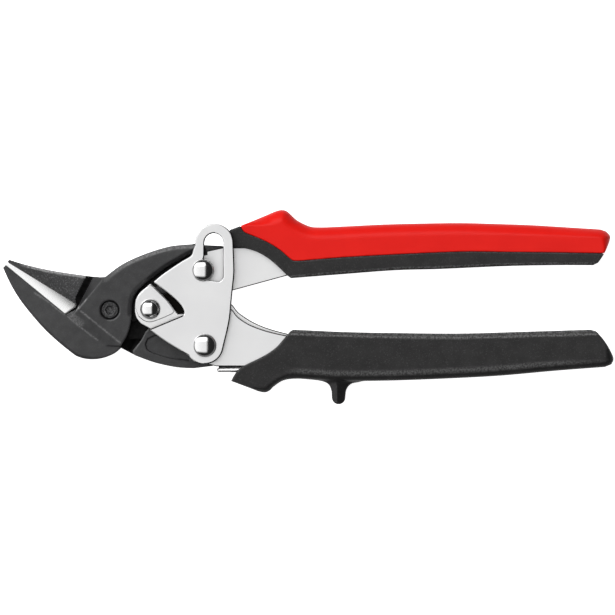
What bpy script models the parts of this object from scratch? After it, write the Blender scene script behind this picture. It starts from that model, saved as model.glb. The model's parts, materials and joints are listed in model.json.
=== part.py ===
"""Aviation snips: compound-leverage sheet-metal shears, closed and latched.

Frame: +X runs from the blades to the grips, +Y from the lower grip to the upper
grip, +Z from the back to the front.  The origin is on the blade pivot's axis,
in the plane that the tool rests on when it lies on its back.
Lengths below are millimetres, angles are degrees; MM turns them into metres.
"""

import math

import bmesh
import bpy

MM = 0.001
GAP = 0.3

# Four-bar kite: blade pivot, two arm rivets, handle pivot.
JAW_ARM = 39.8
HANDLE_ARM = 25.8
JAW_HALF_ANGLE = 21.8
AXIS_TILT = 1.3

# The latch plate's swing for each degree that the handles open.
LATCH_RATIO = 0.8

# Layers along Z, from the resting plane up.
BACK_WALL = (2.0, 4.0)
BACK_PLATE = (4.3, 6.3)
ARM_LAYER = (6.6, 11.6)
FRONT_PLATE = (11.9, 13.9)
FRONT_WALL = (14.2, 16.2)
LATCH_LAYER = (19.8, 21.8)
REAR_HUB = (3.6, 8.95)
FRONT_HUB = (9.25, 14.6)
REAR_BLADE_BACK = 4.6
FRONT_BLADE_TOP = 12.8
GRIP_LAYER = (0.0, 18.2)
CORE_LAYER = (2.2, 16.0)
HEAD_TOP = 24.6
NUT_LAYER = (0.0, 2.2)
WASHER_LAYER = (2.5, 3.3)

# Pins, bushes and heads (radii).
PIN_RADIUS = 2.9
NECK_RADIUS = 1.3
NECK_PLAY = 0.35
BUSH_BORE = 3.45
BUSH_RADIUS = 4.6
UPPER_HEAD = 4.4
LOWER_HEAD = 4.6
CENTRE_HEAD = 4.05
CENTRE_PIN = 2.1
BOSS_RADIUS = 7.4
PIVOT_HEAD = 3.5
PIVOT_SHANK = 2.9
SOCKET_RADIUS = 2.0
NUT_RADIUS = 5.6
WASHER_RADIUS = 6.2
ROUND_SIDES = 32

# Opening spring.
COIL_RADIUS = 3.75
WIRE_RADIUS = 0.5
COIL_TURNS = 3
COIL_START = 7.4
COIL_RISE = 3.4
LEG_ANGLE = 99.0


def polar(centre, radius, degrees):
    """Point at a distance and a direction from a centre."""
    angle = math.radians(degrees)
    return (centre[0] + radius * math.cos(angle), centre[1] + radius * math.sin(angle))


HANDLE_HALF_ANGLE = math.degrees(math.asin(JAW_ARM * math.sin(math.radians(JAW_HALF_ANGLE)) / HANDLE_ARM))
CENTRE_DISTANCE = (JAW_ARM * math.cos(math.radians(JAW_HALF_ANGLE))
                   - HANDLE_ARM * math.cos(math.radians(HANDLE_HALF_ANGLE)))
BLADE_PIVOT = (0.0, 0.0)
CENTRE_PIVOT = polar(BLADE_PIVOT, CENTRE_DISTANCE, AXIS_TILT)
UPPER_PIVOT = polar(BLADE_PIVOT, JAW_ARM, AXIS_TILT + JAW_HALF_ANGLE)
LOWER_PIVOT = polar(BLADE_PIVOT, JAW_ARM, AXIS_TILT - JAW_HALF_ANGLE)

# Each moving group: its parent group and the axis it turns on.
GROUPS = {
    "lower_handle": (None, BLADE_PIVOT),
    "upper_handle": ("lower_handle", CENTRE_PIVOT),
    "rear_jaw_group": ("lower_handle", LOWER_PIVOT),
    "front_jaw_group": ("rear_jaw_group", BLADE_PIVOT),
    "latch_group": ("lower_handle", LOWER_PIVOT),
}

COLOURS = {
    "black_forging": ((0.055, 0.055, 0.057), 0.50, 0.75),
    "dark_steel": ((0.080, 0.080, 0.082), 0.40, 0.90),
    "bright_plate": ((0.78, 0.78, 0.77), 0.28, 1.0),
    "polished_steel": ((0.82, 0.82, 0.82), 0.14, 1.0),
    "bronze": ((0.60, 0.42, 0.22), 0.35, 1.0),
    "spring_steel": ((0.42, 0.42, 0.43), 0.30, 1.0),
    "black_grip": ((0.030, 0.029, 0.029), 0.60, 0.0),
    "red_grip": ((0.72, 0.013, 0.010), 0.48, 0.0),
}


# ---------------------------------------------------------------- helpers

def clear_scene():
    for item in list(bpy.data.objects):
        bpy.data.objects.remove(item, do_unlink=True)


def material(name):
    """The Principled material of a finish, made once."""
    found = bpy.data.materials.get(name)
    if found:
        return found
    colour, roughness, metallic = COLOURS[name]
    made = bpy.data.materials.new(name)
    made.use_nodes = True
    shader = made.node_tree.nodes["Principled BSDF"]
    shader.inputs["Base Color"].default_value = (*colour, 1.0)
    shader.inputs["Roughness"].default_value = roughness
    shader.inputs["Metallic"].default_value = metallic
    return made


def make_groups():
    """One empty on each joint's axis, parented like the joints."""
    made = {}
    for name, (parent, point) in GROUPS.items():
        empty = bpy.data.objects.new(name + "_axis", None)
        bpy.context.collection.objects.link(empty)
        base = GROUPS[parent][1] if parent else BLADE_PIVOT
        empty.location = ((point[0] - base[0]) * MM, (point[1] - base[1]) * MM, 0.0)
        if parent:
            empty.parent = made[parent]
        made[name] = empty
    return made


def finish_object(name, group, data, finish):
    """Link a mesh or curve, hang it on its group's axis, give it its finish."""
    item = bpy.data.objects.new(name, data)
    bpy.context.collection.objects.link(item)
    item.parent = AXES[group]
    data.materials.append(material(finish))
    return item


def local(group, x, y, z):
    origin = GROUPS[group][1]
    return ((x - origin[0]) * MM, (y - origin[1]) * MM, z * MM)


def arc(centre, radius, start, end, steps=8):
    """Points on an arc, from one direction to another."""
    return [polar(centre, radius, start + (end - start) * i / steps) for i in range(steps + 1)]


def smooth(points, steps=4):
    """A smooth curve through the points (Catmull-Rom), ends included."""
    padded = [points[0]] + list(points) + [points[-1]]
    result = []
    for i in range(1, len(padded) - 2):
        a, b, c, d = padded[i - 1:i + 3]
        for j in range(steps):
            t = j / steps
            result.append(tuple(
                0.5 * (2 * b[k] + (c[k] - a[k]) * t
                       + (2 * a[k] - 5 * b[k] + 4 * c[k] - d[k]) * t * t
                       + (3 * b[k] - a[k] - 3 * c[k] + d[k]) * t ** 3)
                for k in range(2)))
    result.append(points[-1])
    return result


def prism(name, group, outline, layer, finish):
    """A plate: an outline extruded from one height to another."""
    bottom, top = layer
    builder = bmesh.new()
    corners = [builder.verts.new(local(group, x, y, bottom)) for x, y in outline]
    face = builder.faces.new(corners)
    raised = bmesh.ops.extrude_face_region(builder, geom=[face])
    moved = [item for item in raised["geom"] if isinstance(item, bmesh.types.BMVert)]
    bmesh.ops.translate(builder, verts=moved, vec=(0.0, 0.0, (top - bottom) * MM))
    bmesh.ops.recalc_face_normals(builder, faces=builder.faces)
    data = bpy.data.meshes.new(name)
    builder.to_mesh(data)
    builder.free()
    return finish_object(name, group, data, finish)


def turned(name, group, centre, profile, finish, sides=ROUND_SIDES, ring=False):
    """A turned piece: (radius, height) points; a ring's profile closes on itself."""
    builder = bmesh.new()
    rings = []
    for radius, height in profile:
        points = [polar(centre, radius, 360.0 * i / sides) for i in range(sides)]
        rings.append([builder.verts.new(local(group, x, y, height)) for x, y in points])
    pairs = list(zip(rings, rings[1:]))
    if ring:
        pairs.append((rings[-1], rings[0]))
    else:
        builder.faces.new(rings[0])
        builder.faces.new(rings[-1])
    for lower, upper in pairs:
        for i in range(sides):
            j = (i + 1) % sides
            builder.faces.new((lower[i], lower[j], upper[j], upper[i]))
    bmesh.ops.recalc_face_normals(builder, faces=builder.faces)
    data = bpy.data.meshes.new(name)
    builder.to_mesh(data)
    builder.free()
    data.shade_smooth()
    data.set_sharp_from_angle(angle=math.radians(35.0))
    return finish_object(name, group, data, finish)


def tube(name, group, centre, inner, outer, layer, finish):
    profile = [(inner, layer[0]), (outer, layer[0]), (outer, layer[1]), (inner, layer[1])]
    return turned(name, group, centre, profile, finish, ring=True)


def as_tool(item):
    item.hide_render = True
    item.display_type = "WIRE"
    return item


def combine(item, tool, operation):
    step = item.modifiers.new(operation.lower() + "_" + tool.name, "BOOLEAN")
    step.operation = operation
    step.solver = "EXACT"
    step.object = as_tool(tool)


def hole(item, group, centre, radius, layer):
    """A round hole through a piece, cut a little past both faces."""
    profile = [(radius, layer[0] - 1.0), (radius, layer[1] + 1.0)]
    tool = turned(item.name + "_hole", group, centre, profile, "dark_steel", sides=24)
    combine(item, tool, "DIFFERENCE")


def soften(item, width, segments=2, angle=40.0):
    """Round the edges that are sharper than an angle."""
    step = item.modifiers.new("edge_round", "BEVEL")
    step.width = width * MM
    step.segments = segments
    step.limit_method = "ANGLE"
    step.angle_limit = math.radians(angle)
    step.use_clamp_overlap = True


# ---------------------------------------------------------------- jaws

def plate_edge(margin):
    """Edge that the thick part of the upper arm keeps clear of the plates."""
    return [(9.4 - margin, -1.5), (9.6 - margin, 2.6), (11.6 - margin, 6.9), (15.4 - margin, 11.3)]


def front_blade_outline():
    back = smooth([(-42.0, 16.6), (-33.4, 1.5), (-24.9, -8.3), (-15.4, -16.5),
                   (-7.0, -19.4), (1.8, -17.1), (4.6, -14.6)], 5)
    return back + [(2.0, -6.0), (-8.0, 2.0), (-12.5, 0.5), (-17.1, -1.8), (-40.9, 17.7)]


def front_hub_outline():
    arm_top = smooth([(27.0, 25.3), (18.0, 23.2), (8.0, 19.6), (-2.3, 12.6)], 4)
    return ([(-7.3, 12.9), (-12.5, 2.1), (-12.5, 0.5), (4.4, -13.2), (8.0, -7.5)]
            + plate_edge(0.0) + [(22.0, 16.2), (27.0, 19.4)] + arm_top)


def upper_arm_outline():
    """Middle-layer arm, clear of the rear hub's circle and of the spring."""
    around_hub = arc(BLADE_PIVOT, 17.6, 72.0, 18.6, 8)
    eye = arc(UPPER_PIVOT, BOSS_RADIUS + 0.6, -105.0, 40.0, 10)
    return around_hub + [(22.0, 6.2), (28.5, 7.0)] + eye + [(43.2, 25.0), (27.0, 25.3), (16.0, 22.6)]


def build_front_jaw():
    """Lower blade, front half of the hub and the arm that the upper handle squeezes."""
    jaw = prism("front_jaw", "front_jaw_group", front_hub_outline(), FRONT_HUB, "black_forging")
    blade = prism("front_jaw_blade", "front_jaw_group", front_blade_outline(),
                  (FRONT_HUB[0], FRONT_BLADE_TOP), "black_forging")
    arm = prism("front_jaw_arm", "front_jaw_group", upper_arm_outline(), ARM_LAYER, "black_forging")
    combine(jaw, blade, "UNION")
    combine(jaw, arm, "UNION")
    hole(jaw, "front_jaw_group", UPPER_PIVOT, BUSH_RADIUS + GAP, ARM_LAYER)
    hole(jaw, "front_jaw_group", BLADE_PIVOT, PIVOT_SHANK + GAP, FRONT_HUB)
    hole(jaw, "front_jaw_group", BLADE_PIVOT, PIVOT_HEAD + GAP, (FRONT_HUB[0] + 3.35, FRONT_HUB[1]))
    tube("upper_arm_bush", "front_jaw_group", UPPER_PIVOT, BUSH_BORE, BUSH_RADIUS, ARM_LAYER, "bronze")


def rear_blade_outline():
    spine = smooth([(-1.8, 13.0), (-7.3, 13.2), (-22.3, 15.4), (-40.0, 19.7)], 3)
    return spine + [(-41.2, 17.0), (-17.4, -3.4), (-6.0, -6.0), (4.0, 4.0)]


def rear_hub_outline():
    """Hub and the root of the lower arm, clear of the handle walls at their back."""
    front = arc(BLADE_PIVOT, 9.3, 62.0, -20.0, 6)
    under = smooth([(24.0, -22.0), (17.8, -20.7), (10.1, -17.8), (5.0, -15.2), (-3.0, -11.5), (-13.5, -6.5)], 3)
    return ([(-11.0, 8.0), (-1.8, 13.0), (3.4, 11.6)] + front
            + [(10.6, -6.6), (14.2, -9.4), (24.0, -14.9)] + under)


def lower_arm_outline():
    """Middle-layer arm, right of the ridge that clears the front hub."""
    eye = arc(LOWER_PIVOT, BOSS_RADIUS + 1.2, -70.0, 125.0, 12)
    return ([(9.0, -16.2), (10.1, -17.8)]
            + smooth([(17.8, -20.7), (26.3, -22.5), (33.0, -22.9)], 3) + eye
            + [(28.5, -6.9), (22.0, -5.7), (17.2, -5.2), (13.9, -8.7), (12.3, -11.8)])


def build_rear_jaw():
    """Upper blade, rear half of the hub and the arm that the lower handle squeezes."""
    jaw = prism("rear_jaw", "rear_jaw_group", rear_hub_outline(), REAR_HUB, "black_forging")
    blade = prism("rear_jaw_blade", "rear_jaw_group", rear_blade_outline(),
                  (REAR_BLADE_BACK, REAR_HUB[1]), "black_forging")
    arm = prism("rear_jaw_arm", "rear_jaw_group", lower_arm_outline(), ARM_LAYER, "black_forging")
    combine(jaw, blade, "UNION")
    combine(jaw, arm, "UNION")
    hole(jaw, "rear_jaw_group", LOWER_PIVOT, BUSH_RADIUS + GAP, ARM_LAYER)
    hole(jaw, "rear_jaw_group", BLADE_PIVOT, PIVOT_SHANK + GAP, REAR_HUB)
    tube("lower_arm_bush", "rear_jaw_group", LOWER_PIVOT, PIN_RADIUS + GAP, BUSH_RADIUS, ARM_LAYER, "bronze")


def build_blade_pivot():
    """Socket-head bolt sunk in the front hub, with a washer and a hexagon nut at the back."""
    seat = FRONT_HUB[0] + 2.35 + GAP
    rim = FRONT_HUB[1] - 0.5
    profile = [(PIVOT_SHANK, 0.0), (PIVOT_SHANK, seat), (PIVOT_HEAD, seat),
               (PIVOT_HEAD, rim - 0.4), (PIVOT_HEAD - 0.4, rim), (SOCKET_RADIUS + 0.5, rim)]
    bolt = turned("pivot_bolt", "rear_jaw_group", BLADE_PIVOT, profile, "dark_steel")
    socket_profile = [(SOCKET_RADIUS, rim - 1.8), (SOCKET_RADIUS, rim + 1.0)]
    socket = turned("pivot_bolt_socket", "rear_jaw_group", BLADE_PIVOT, socket_profile, "dark_steel", sides=6)
    combine(bolt, socket, "DIFFERENCE")
    hexagon = [polar(BLADE_PIVOT, NUT_RADIUS, 60.0 * i) for i in range(6)]
    nut = prism("pivot_nut", "rear_jaw_group", hexagon, NUT_LAYER, "dark_steel")
    hole(nut, "rear_jaw_group", BLADE_PIVOT, PIVOT_SHANK + GAP, NUT_LAYER)
    tube("pivot_washer", "rear_jaw_group", BLADE_PIVOT, PIVOT_SHANK + GAP, WASHER_RADIUS, WASHER_LAYER, "dark_steel")


# ---------------------------------------------------------------- handles

def lower_wall_outline(lift):
    """Side wall from the nose round the centre rivet to the channel; lift raises its top edge."""
    nose = smooth([(11.2, 6.2), (14.2, 8.4), (16.3, 10.4), (20.7, 6.8), (24.5, 2.5), (27.0, -1.0)], 3)
    gullet = smooth([(44.0, 2.4 + lift), (47.9, 0.2 + lift), (54.3, -5.5 + lift),
                     (62.0, -8.4 + 0.6 * lift), (71.0, -10.4 + 0.4 * lift)], 4)
    round_end = arc(CENTRE_PIVOT, 5.85, 205.0, 130.0, 6)
    eye = arc(LOWER_PIVOT, 7.0, 250.0, 225.0, 2)
    return (round_end + nose + [(33.0, -1.0)] + gullet
            + [(76.0, -12.0), (150.0, -13.5), (150.0, -23.6), (42.0, -24.2), (41.9, -22.4)]
            + eye + [(22.0, -11.7), (15.6, -7.6), (12.5, -5.7)])


def lower_pocket_outline():
    """Space for the channel inside the grip, open at the grip's front."""
    return [(38.0, -5.0), (60.0, -5.0), (74.0, -9.0), (78.0, -11.6), (150.4, -13.1),
            (150.4, -24.0), (42.0, -24.6), (38.0, -24.6)]


def build_lower_frame():
    """Bent channel: outer front wall, outer back wall and the web along the bottom."""
    frame = prism("lower_handle_frame", "lower_handle", lower_wall_outline(0.0), FRONT_WALL, "bright_plate")
    back = prism("lower_frame_back", "lower_handle", lower_wall_outline(1.7), BACK_WALL, "bright_plate")
    web_outline = [(42.5, -22.4), (42.5, -24.2), (149.5, -23.5), (149.5, -21.7), (90.0, -22.1)]
    web = prism("lower_frame_web", "lower_handle", web_outline,
                (BACK_WALL[0] + 0.2, FRONT_WALL[1] - 0.2), "bright_plate")
    combine(frame, web, "UNION")
    combine(frame, back, "UNION")
    hole(frame, "lower_handle", CENTRE_PIVOT, CENTRE_PIN + GAP, (BACK_WALL[0], FRONT_WALL[1]))
    hole(frame, "lower_handle", LOWER_PIVOT, PIN_RADIUS + GAP, (BACK_WALL[0], FRONT_WALL[1]))


def upper_plate_outline():
    """Inner plate: eye on the centre rivet, arm to the upper rivet, then the channel."""
    centre_eye = arc(CENTRE_PIVOT, 5.0, 20.0, 290.0, 12)
    upper_eye = arc(UPPER_PIVOT, 5.9, 105.0, 200.0, 5)
    return (centre_eye + [(24.0, -5.5), (34.0, -3.0), (48.4, 7.7), (70.0, 13.6), (150.0, 18.6), (150.0, 27.4),
                          (72.0, 26.4), (60.0, 26.4), (52.3, 24.6), (44.7, 24.6), (38.0, 23.2)]
            + [(38.0, 21.9)] + upper_eye + [(31.0, 8.0), (28.6, 2.2)])


def build_upper_frame():
    """Bent channel between the lower handle's walls, with its web along the top."""
    frame = prism("upper_handle_frame", "upper_handle", upper_plate_outline(), FRONT_PLATE, "bright_plate")
    back = prism("upper_frame_back", "upper_handle", upper_plate_outline(), BACK_PLATE, "bright_plate")
    web_outline = [(56.0, 25.5), (60.0, 26.4), (72.0, 26.4), (149.6, 27.4), (149.6, 25.4), (72.0, 24.4), (57.0, 23.7)]
    web = prism("upper_frame_web", "upper_handle", web_outline,
                (BACK_PLATE[0] + 0.2, FRONT_PLATE[1] - 0.2), "bright_plate")
    combine(frame, web, "UNION")
    combine(frame, back, "UNION")
    hole(frame, "upper_handle", CENTRE_PIVOT, CENTRE_PIN + GAP, (BACK_PLATE[0], FRONT_PLATE[1]))
    hole(frame, "upper_handle", UPPER_PIVOT, PIN_RADIUS + GAP, (BACK_PLATE[0], FRONT_PLATE[1]))


# ---------------------------------------------------------------- grips

def lower_grip_outline():
    """Side view of the lower grip with its front swell and its finger stop."""
    front = smooth([(47.6, -27.9), (49.7, -24.4), (52.3, -22.1), (60.2, -18.2), (68.3, -11.4), (71.2, -7.9)], 3)
    top = smooth([(72.2, -7.7), (100.0, -8.9), (137.6, -9.2), (189.0, -7.8)], 4)
    heel = [(191.9, -8.9), (196.4, -15.4), (197.6, -19.0), (196.4, -21.9)]
    bottom = smooth([(174.9, -23.9), (137.6, -26.7), (99.0, -27.9), (94.9, -28.6), (92.8, -31.4)], 3)
    stop = arc((89.8, -34.6), 2.7, 0.0, -180.0, 6)
    bay = smooth([(86.9, -31.0), (84.4, -28.2), (78.0, -27.0), (68.4, -27.6), (63.8, -30.8), (60.8, -32.3)], 3)
    return front + top + heel + bottom + stop + bay + [(56.5, -31.3)]


def build_lower_grip():
    """Black grip moulded on the lower channel."""
    grip = prism("lower_grip", "lower_handle", lower_grip_outline(), GRIP_LAYER, "black_grip")
    soften(grip, 2.2)
    pocket = prism("lower_grip_pocket", "lower_handle", lower_pocket_outline(),
                   (BACK_WALL[0] - GAP, FRONT_WALL[1] + GAP), "black_grip")
    combine(grip, pocket, "DIFFERENCE")


def upper_grip_top():
    """Outer line of the upper grip, from its front corner to its heel."""
    return (smooth([(51.4, 33.1), (60.2, 36.7), (66.4, 39.0), (69.2, 38.9), (73.8, 35.1), (79.4, 32.7),
                    (90.9, 32.8), (137.6, 34.2), (179.9, 32.5), (193.0, 31.7), (196.4, 29.6)], 4))


def grip_seam():
    """Line where the soft zone ends on the hard body, from the heel to the front."""
    return smooth([(194.1, 22.2), (174.9, 22.6), (137.6, 22.9), (91.9, 20.7), (74.0, 19.3)], 3) + [
        (70.6, 20.4), (66.7, 23.7), (61.8, 26.6), (55.0, 29.4)]


def shifted(points, dx, dy):
    return [(x + dx, y + dy) for x, y in points]


def core_outline():
    """Hard core under the soft zone, set in from its outer line."""
    return [(57.0, 31.6), (67.0, 35.4), (75.4, 29.8), (92.0, 29.2), (138.0, 30.6), (192.0, 28.4)]


def build_upper_grip():
    """Black body on the upper channel and the red soft zone wrapped round its core."""
    underside = smooth([(189.9, 17.6), (154.8, 17.2), (112.0, 15.6), (71.4, 12.6)], 4)
    front = smooth([(69.6, 13.6), (66.7, 16.5), (60.2, 21.6), (52.3, 24.6), (49.0, 25.2)], 3)
    body_outline = shifted(grip_seam(), 0.0, -GAP) + [(51.4, 32.9), (47.2, 31.5)] + front[::-1] + underside[::-1]
    body = prism("upper_grip_body", "upper_handle", body_outline, GRIP_LAYER, "black_grip")
    soften(body, 1.2)
    core_ring = core_outline() + [(192.0, 20.0), (76.0, 17.5), (66.0, 20.0), (55.0, 27.5)]
    core = prism("upper_grip_core", "upper_handle", core_ring, CORE_LAYER, "black_grip")
    combine(body, core, "UNION")
    pocket_outline = [(40.0, 4.0), (70.0, 13.2), (150.4, 18.2), (150.4, 27.8), (72.0, 26.8),
                      (60.0, 26.8), (52.0, 25.0), (40.0, 25.0)]
    pocket = prism("upper_grip_pocket", "upper_handle", pocket_outline,
                   (BACK_PLATE[0] - GAP, FRONT_PLATE[1] + GAP), "black_grip")
    combine(body, pocket, "DIFFERENCE")
    inlay = prism("upper_grip_inlay", "upper_handle", upper_grip_top() + grip_seam(), GRIP_LAYER, "red_grip")
    soften(inlay, 2.2)
    space = ([(55.9, 31.5), (67.2, 35.9), (75.6, 30.2), (92.0, 29.6), (138.0, 31.0), (192.4, 28.8)]
             + [(192.4, 15.0), (60.0, 15.0), (52.0, 27.5)])
    hollow = prism("upper_inlay_hollow", "upper_handle", space, (CORE_LAYER[0] - GAP, CORE_LAYER[1] + GAP),
                   "red_grip")
    combine(inlay, hollow, "DIFFERENCE")


# ---------------------------------------------------------------- latch and rivets

def latch_outline():
    loop = arc((41.06, 26.5), 7.35, 190.0, 0.0, 10)
    foot = arc(LOWER_PIVOT, 7.35, -20.0, -160.0, 8)
    left = smooth([(17.1, 11.0), (24.6, 16.7), (31.8, 21.4)], 3)
    back = smooth([(48.6, 22.0), (48.9, 13.8), (48.0, 5.2), (45.6, -10.0)], 3)
    lower = smooth([(30.2, -17.0), (22.0, -12.3), (15.8, -7.8)], 3)
    return left + loop + back + foot + lower + [(28.8, -2.0), (29.2, -0.2)]


def turn(point, centre, degrees):
    """A point turned about a centre."""
    cosine, sine = math.cos(math.radians(degrees)), math.sin(math.radians(degrees))
    x, y = point[0] - centre[0], point[1] - centre[1]
    return (centre[0] + x * cosine - y * sine, centre[1] + x * sine + y * cosine)


def guide_point(opening):
    """Where the upper rivet's neck is in the latch plate, with the handles opened by an angle."""
    rivet = turn(UPPER_PIVOT, CENTRE_PIVOT, opening)
    return turn(rivet, LOWER_PIVOT, -LATCH_RATIO * opening)


def notch_side():
    """Left side of the notch: the neck's path, moved out by its radius and its clearance."""
    reach = NECK_RADIUS + NECK_PLAY
    side = []
    for opening in (0.0, 4.0, 8.0, 11.0):
        here, ahead = guide_point(opening), guide_point(opening + 1.0)
        dx, dy = ahead[0] - here[0], ahead[1] - here[1]
        length = math.hypot(dx, dy)
        side.append((here[0] - dy / length * reach, here[1] + dx / length * reach))
    return side


def slot_outline():
    """Open window over the upper rivet: the locking notch at the lower left, the guide to its top."""
    top = arc((40.9, 26.4), 3.7, 180.0, 0.0, 8)
    foot = arc((42.3, 13.4), 2.3, 0.0, -90.0, 3)
    notch = arc(UPPER_PIVOT, NECK_RADIUS + NECK_PLAY, -70.0, -190.0, 6)
    return top + foot + [(38.6, 11.8)] + notch + notch_side() + [(37.2, 21.6)]


def build_latch():
    """Locking plate that turns on the lower rivet and hooks its notch under the upper head."""
    latch = prism("latch_plate", "latch_group", latch_outline(), LATCH_LAYER, "bright_plate")
    slot = prism("latch_slot", "latch_group", slot_outline(), (LATCH_LAYER[0] - 1.0, LATCH_LAYER[1] + 1.0),
                 "bright_plate")
    combine(latch, slot, "DIFFERENCE")
    hole(latch, "latch_group", LOWER_PIVOT, PIN_RADIUS + GAP, LATCH_LAYER)


def dome(radius, base, top):
    """Profile of a domed rivet head with a small flat on top."""
    height = top - base - 0.5
    side = [(radius, base), (radius, base + 0.5)]
    crown = [(radius * math.cos(math.radians(a)), base + 0.5 + height * math.sin(math.radians(a)))
             for a in (25.0, 45.0, 62.0, 76.0)]
    return side + crown


def back_head(radius, bottom, top):
    return [(radius - 0.9, bottom), (radius, bottom + 0.8), (radius, top)]


def build_rivets():
    """Three stepped rivets; each head bears on the outermost plate of its stack."""
    head_base = LATCH_LAYER[1] + GAP
    upper = (back_head(UPPER_HEAD, 2.2, 4.0) + [(PIN_RADIUS, 4.0), (PIN_RADIUS, FRONT_PLATE[1]),
             (NECK_RADIUS, FRONT_PLATE[1]), (NECK_RADIUS, head_base)] + dome(UPPER_HEAD, head_base, HEAD_TOP))
    turned("upper_rivet", "upper_handle", UPPER_PIVOT, upper, "polished_steel")
    lower = (back_head(LOWER_HEAD, 0.1, 1.7) + [(PIN_RADIUS, 1.7), (PIN_RADIUS, head_base)]
             + dome(LOWER_HEAD, head_base, HEAD_TOP))
    turned("lower_rivet", "lower_handle", LOWER_PIVOT, lower, "polished_steel")
    centre_base = FRONT_WALL[1] + GAP
    centre = (back_head(CENTRE_HEAD, 0.1, 1.7) + [(CENTRE_PIN, 1.7), (CENTRE_PIN, centre_base)]
              + dome(CENTRE_HEAD, centre_base, LATCH_LAYER[0] - GAP))
    turned("centre_rivet", "lower_handle", CENTRE_PIVOT, centre, "polished_steel")


def build_spacers():
    """Rings that keep the layers at their heights on the rivets."""
    bore = PIN_RADIUS + GAP
    tube("centre_spacer", "lower_handle", CENTRE_PIVOT, CENTRE_PIN + GAP, 2.9, ARM_LAYER, "dark_steel")
    tube("lower_arm_washer_back", "lower_handle", LOWER_PIVOT, bore, 6.4, BACK_PLATE, "dark_steel")
    tube("lower_arm_washer_front", "lower_handle", LOWER_PIVOT, bore, 6.4, FRONT_PLATE, "dark_steel")
    tube("latch_spacer", "lower_handle", LOWER_PIVOT, bore, 6.0,
         (FRONT_WALL[1] + GAP, LATCH_LAYER[0] - GAP), "dark_steel")
    tube("latch_collar", "upper_handle", UPPER_PIVOT, NECK_RADIUS + GAP, 3.9,
         (FRONT_PLATE[1] + GAP, LATCH_LAYER[0] - GAP), "dark_steel")


def spring_path():
    """Lower leg, coil round the spacer, upper leg; the legs bear on the arms' eyes."""
    steps = 16 * COIL_TURNS
    turned_by = 360.0 * COIL_TURNS - 2.0 * LEG_ANGLE
    coil = []
    for i in range(steps + 1):
        share = i / steps
        x, y = polar(CENTRE_PIVOT, COIL_RADIUS, 360.0 - LEG_ANGLE - turned_by * share)
        coil.append((x, y, COIL_START + COIL_RISE * share))
    low = (31.5, -5.7, coil[0][2])
    high = (31.5, 6.3, coil[-1][2])
    return [low] + coil + [high]


def build_spring():
    """Torsion spring that opens the handles."""
    data = bpy.data.curves.new("opening_spring", "CURVE")
    data.dimensions = "3D"
    data.bevel_depth = WIRE_RADIUS * MM
    data.bevel_resolution = 2
    data.use_fill_caps = True
    points = spring_path()
    line = data.splines.new("POLY")
    line.points.add(len(points) - 1)
    for point, (x, y, z) in zip(line.points, points):
        point.co = (*local("lower_handle", x, y, z), 1.0)
    finish_object("opening_spring", "lower_handle", data, "spring_steel")


clear_scene()
AXES = make_groups()
build_front_jaw()
build_rear_jaw()
build_blade_pivot()
build_lower_frame()
build_upper_frame()
build_lower_grip()
build_upper_grip()
build_latch()
build_rivets()
build_spacers()
build_spring()
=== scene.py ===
"""Looks of the aviation snips: fine meshes, finishes, camera and studio light."""

import json
import math

import bmesh
import bpy
import numpy as np
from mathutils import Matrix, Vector


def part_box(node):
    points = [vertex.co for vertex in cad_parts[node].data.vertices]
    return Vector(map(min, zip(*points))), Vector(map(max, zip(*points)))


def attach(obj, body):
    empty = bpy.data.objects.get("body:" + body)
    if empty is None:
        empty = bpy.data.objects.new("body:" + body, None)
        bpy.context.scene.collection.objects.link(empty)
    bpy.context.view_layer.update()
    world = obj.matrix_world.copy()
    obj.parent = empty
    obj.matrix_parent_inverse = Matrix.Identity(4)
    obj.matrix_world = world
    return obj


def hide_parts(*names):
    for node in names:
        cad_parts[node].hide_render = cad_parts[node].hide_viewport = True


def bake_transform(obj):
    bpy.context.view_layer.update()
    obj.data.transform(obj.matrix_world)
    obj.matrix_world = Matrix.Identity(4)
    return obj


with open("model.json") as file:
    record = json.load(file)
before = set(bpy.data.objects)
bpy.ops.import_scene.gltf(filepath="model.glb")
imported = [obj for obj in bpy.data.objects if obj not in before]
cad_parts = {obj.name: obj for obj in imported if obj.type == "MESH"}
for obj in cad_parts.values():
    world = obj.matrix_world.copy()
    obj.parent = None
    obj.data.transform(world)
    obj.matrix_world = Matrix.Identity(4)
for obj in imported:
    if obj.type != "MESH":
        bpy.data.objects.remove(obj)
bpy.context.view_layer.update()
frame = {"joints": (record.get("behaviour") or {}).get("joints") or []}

MM = 0.001

# ---------------- places taken from the frame (millimetres)

JOINTS = {joint["name"]: joint["pos_m"] for joint in frame["joints"]}
BLADE = (0.0, 0.0)
CENTRE = tuple(v / MM for v in JOINTS["handle_opening"][:2])
LOWER = tuple(v / MM for v in JOINTS["latch_swing"][:2])


def node_box(name):
    low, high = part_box(name)
    return [v / MM for v in low], [v / MM for v in high]


def node_centre(name):
    low, high = node_box(name)
    return ((low[0] + high[0]) / 2, (low[1] + high[1]) / 2)


def layer(name):
    low, high = node_box(name)
    return low[2], high[2]


UPPER = node_centre("upper_rivet")
GRIP_LOW, GRIP_HIGH = layer("lower_grip")
GRIP_MID = (GRIP_LOW + GRIP_HIGH) / 2
LATCH_LOW, LATCH_HIGH = layer("latch_plate")
REAR_LOW = layer("rear_jaw")[0]
ARM_LOW, ARM_HIGH = layer("upper_arm_bush")
FRONT_HIGH = layer("front_jaw")[1]
SHEAR = 9.1
HALF_GAP = 0.15
LOWER_BACK, LOWER_FRONT = layer("lower_handle_frame")
UPPER_BACK, UPPER_FRONT = layer("upper_handle_frame")
WALL = 2.0
RIM = 0.38
CENTRE_BORE, RIVET_BORE, BOLT_BORE = 2.4, 3.2, 3.2


def metres(point, height=0.0):
    """A place in plan and a height, both in millimetres, as a point in metres."""
    return (point[0] * MM, point[1] * MM, height * MM)


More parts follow.
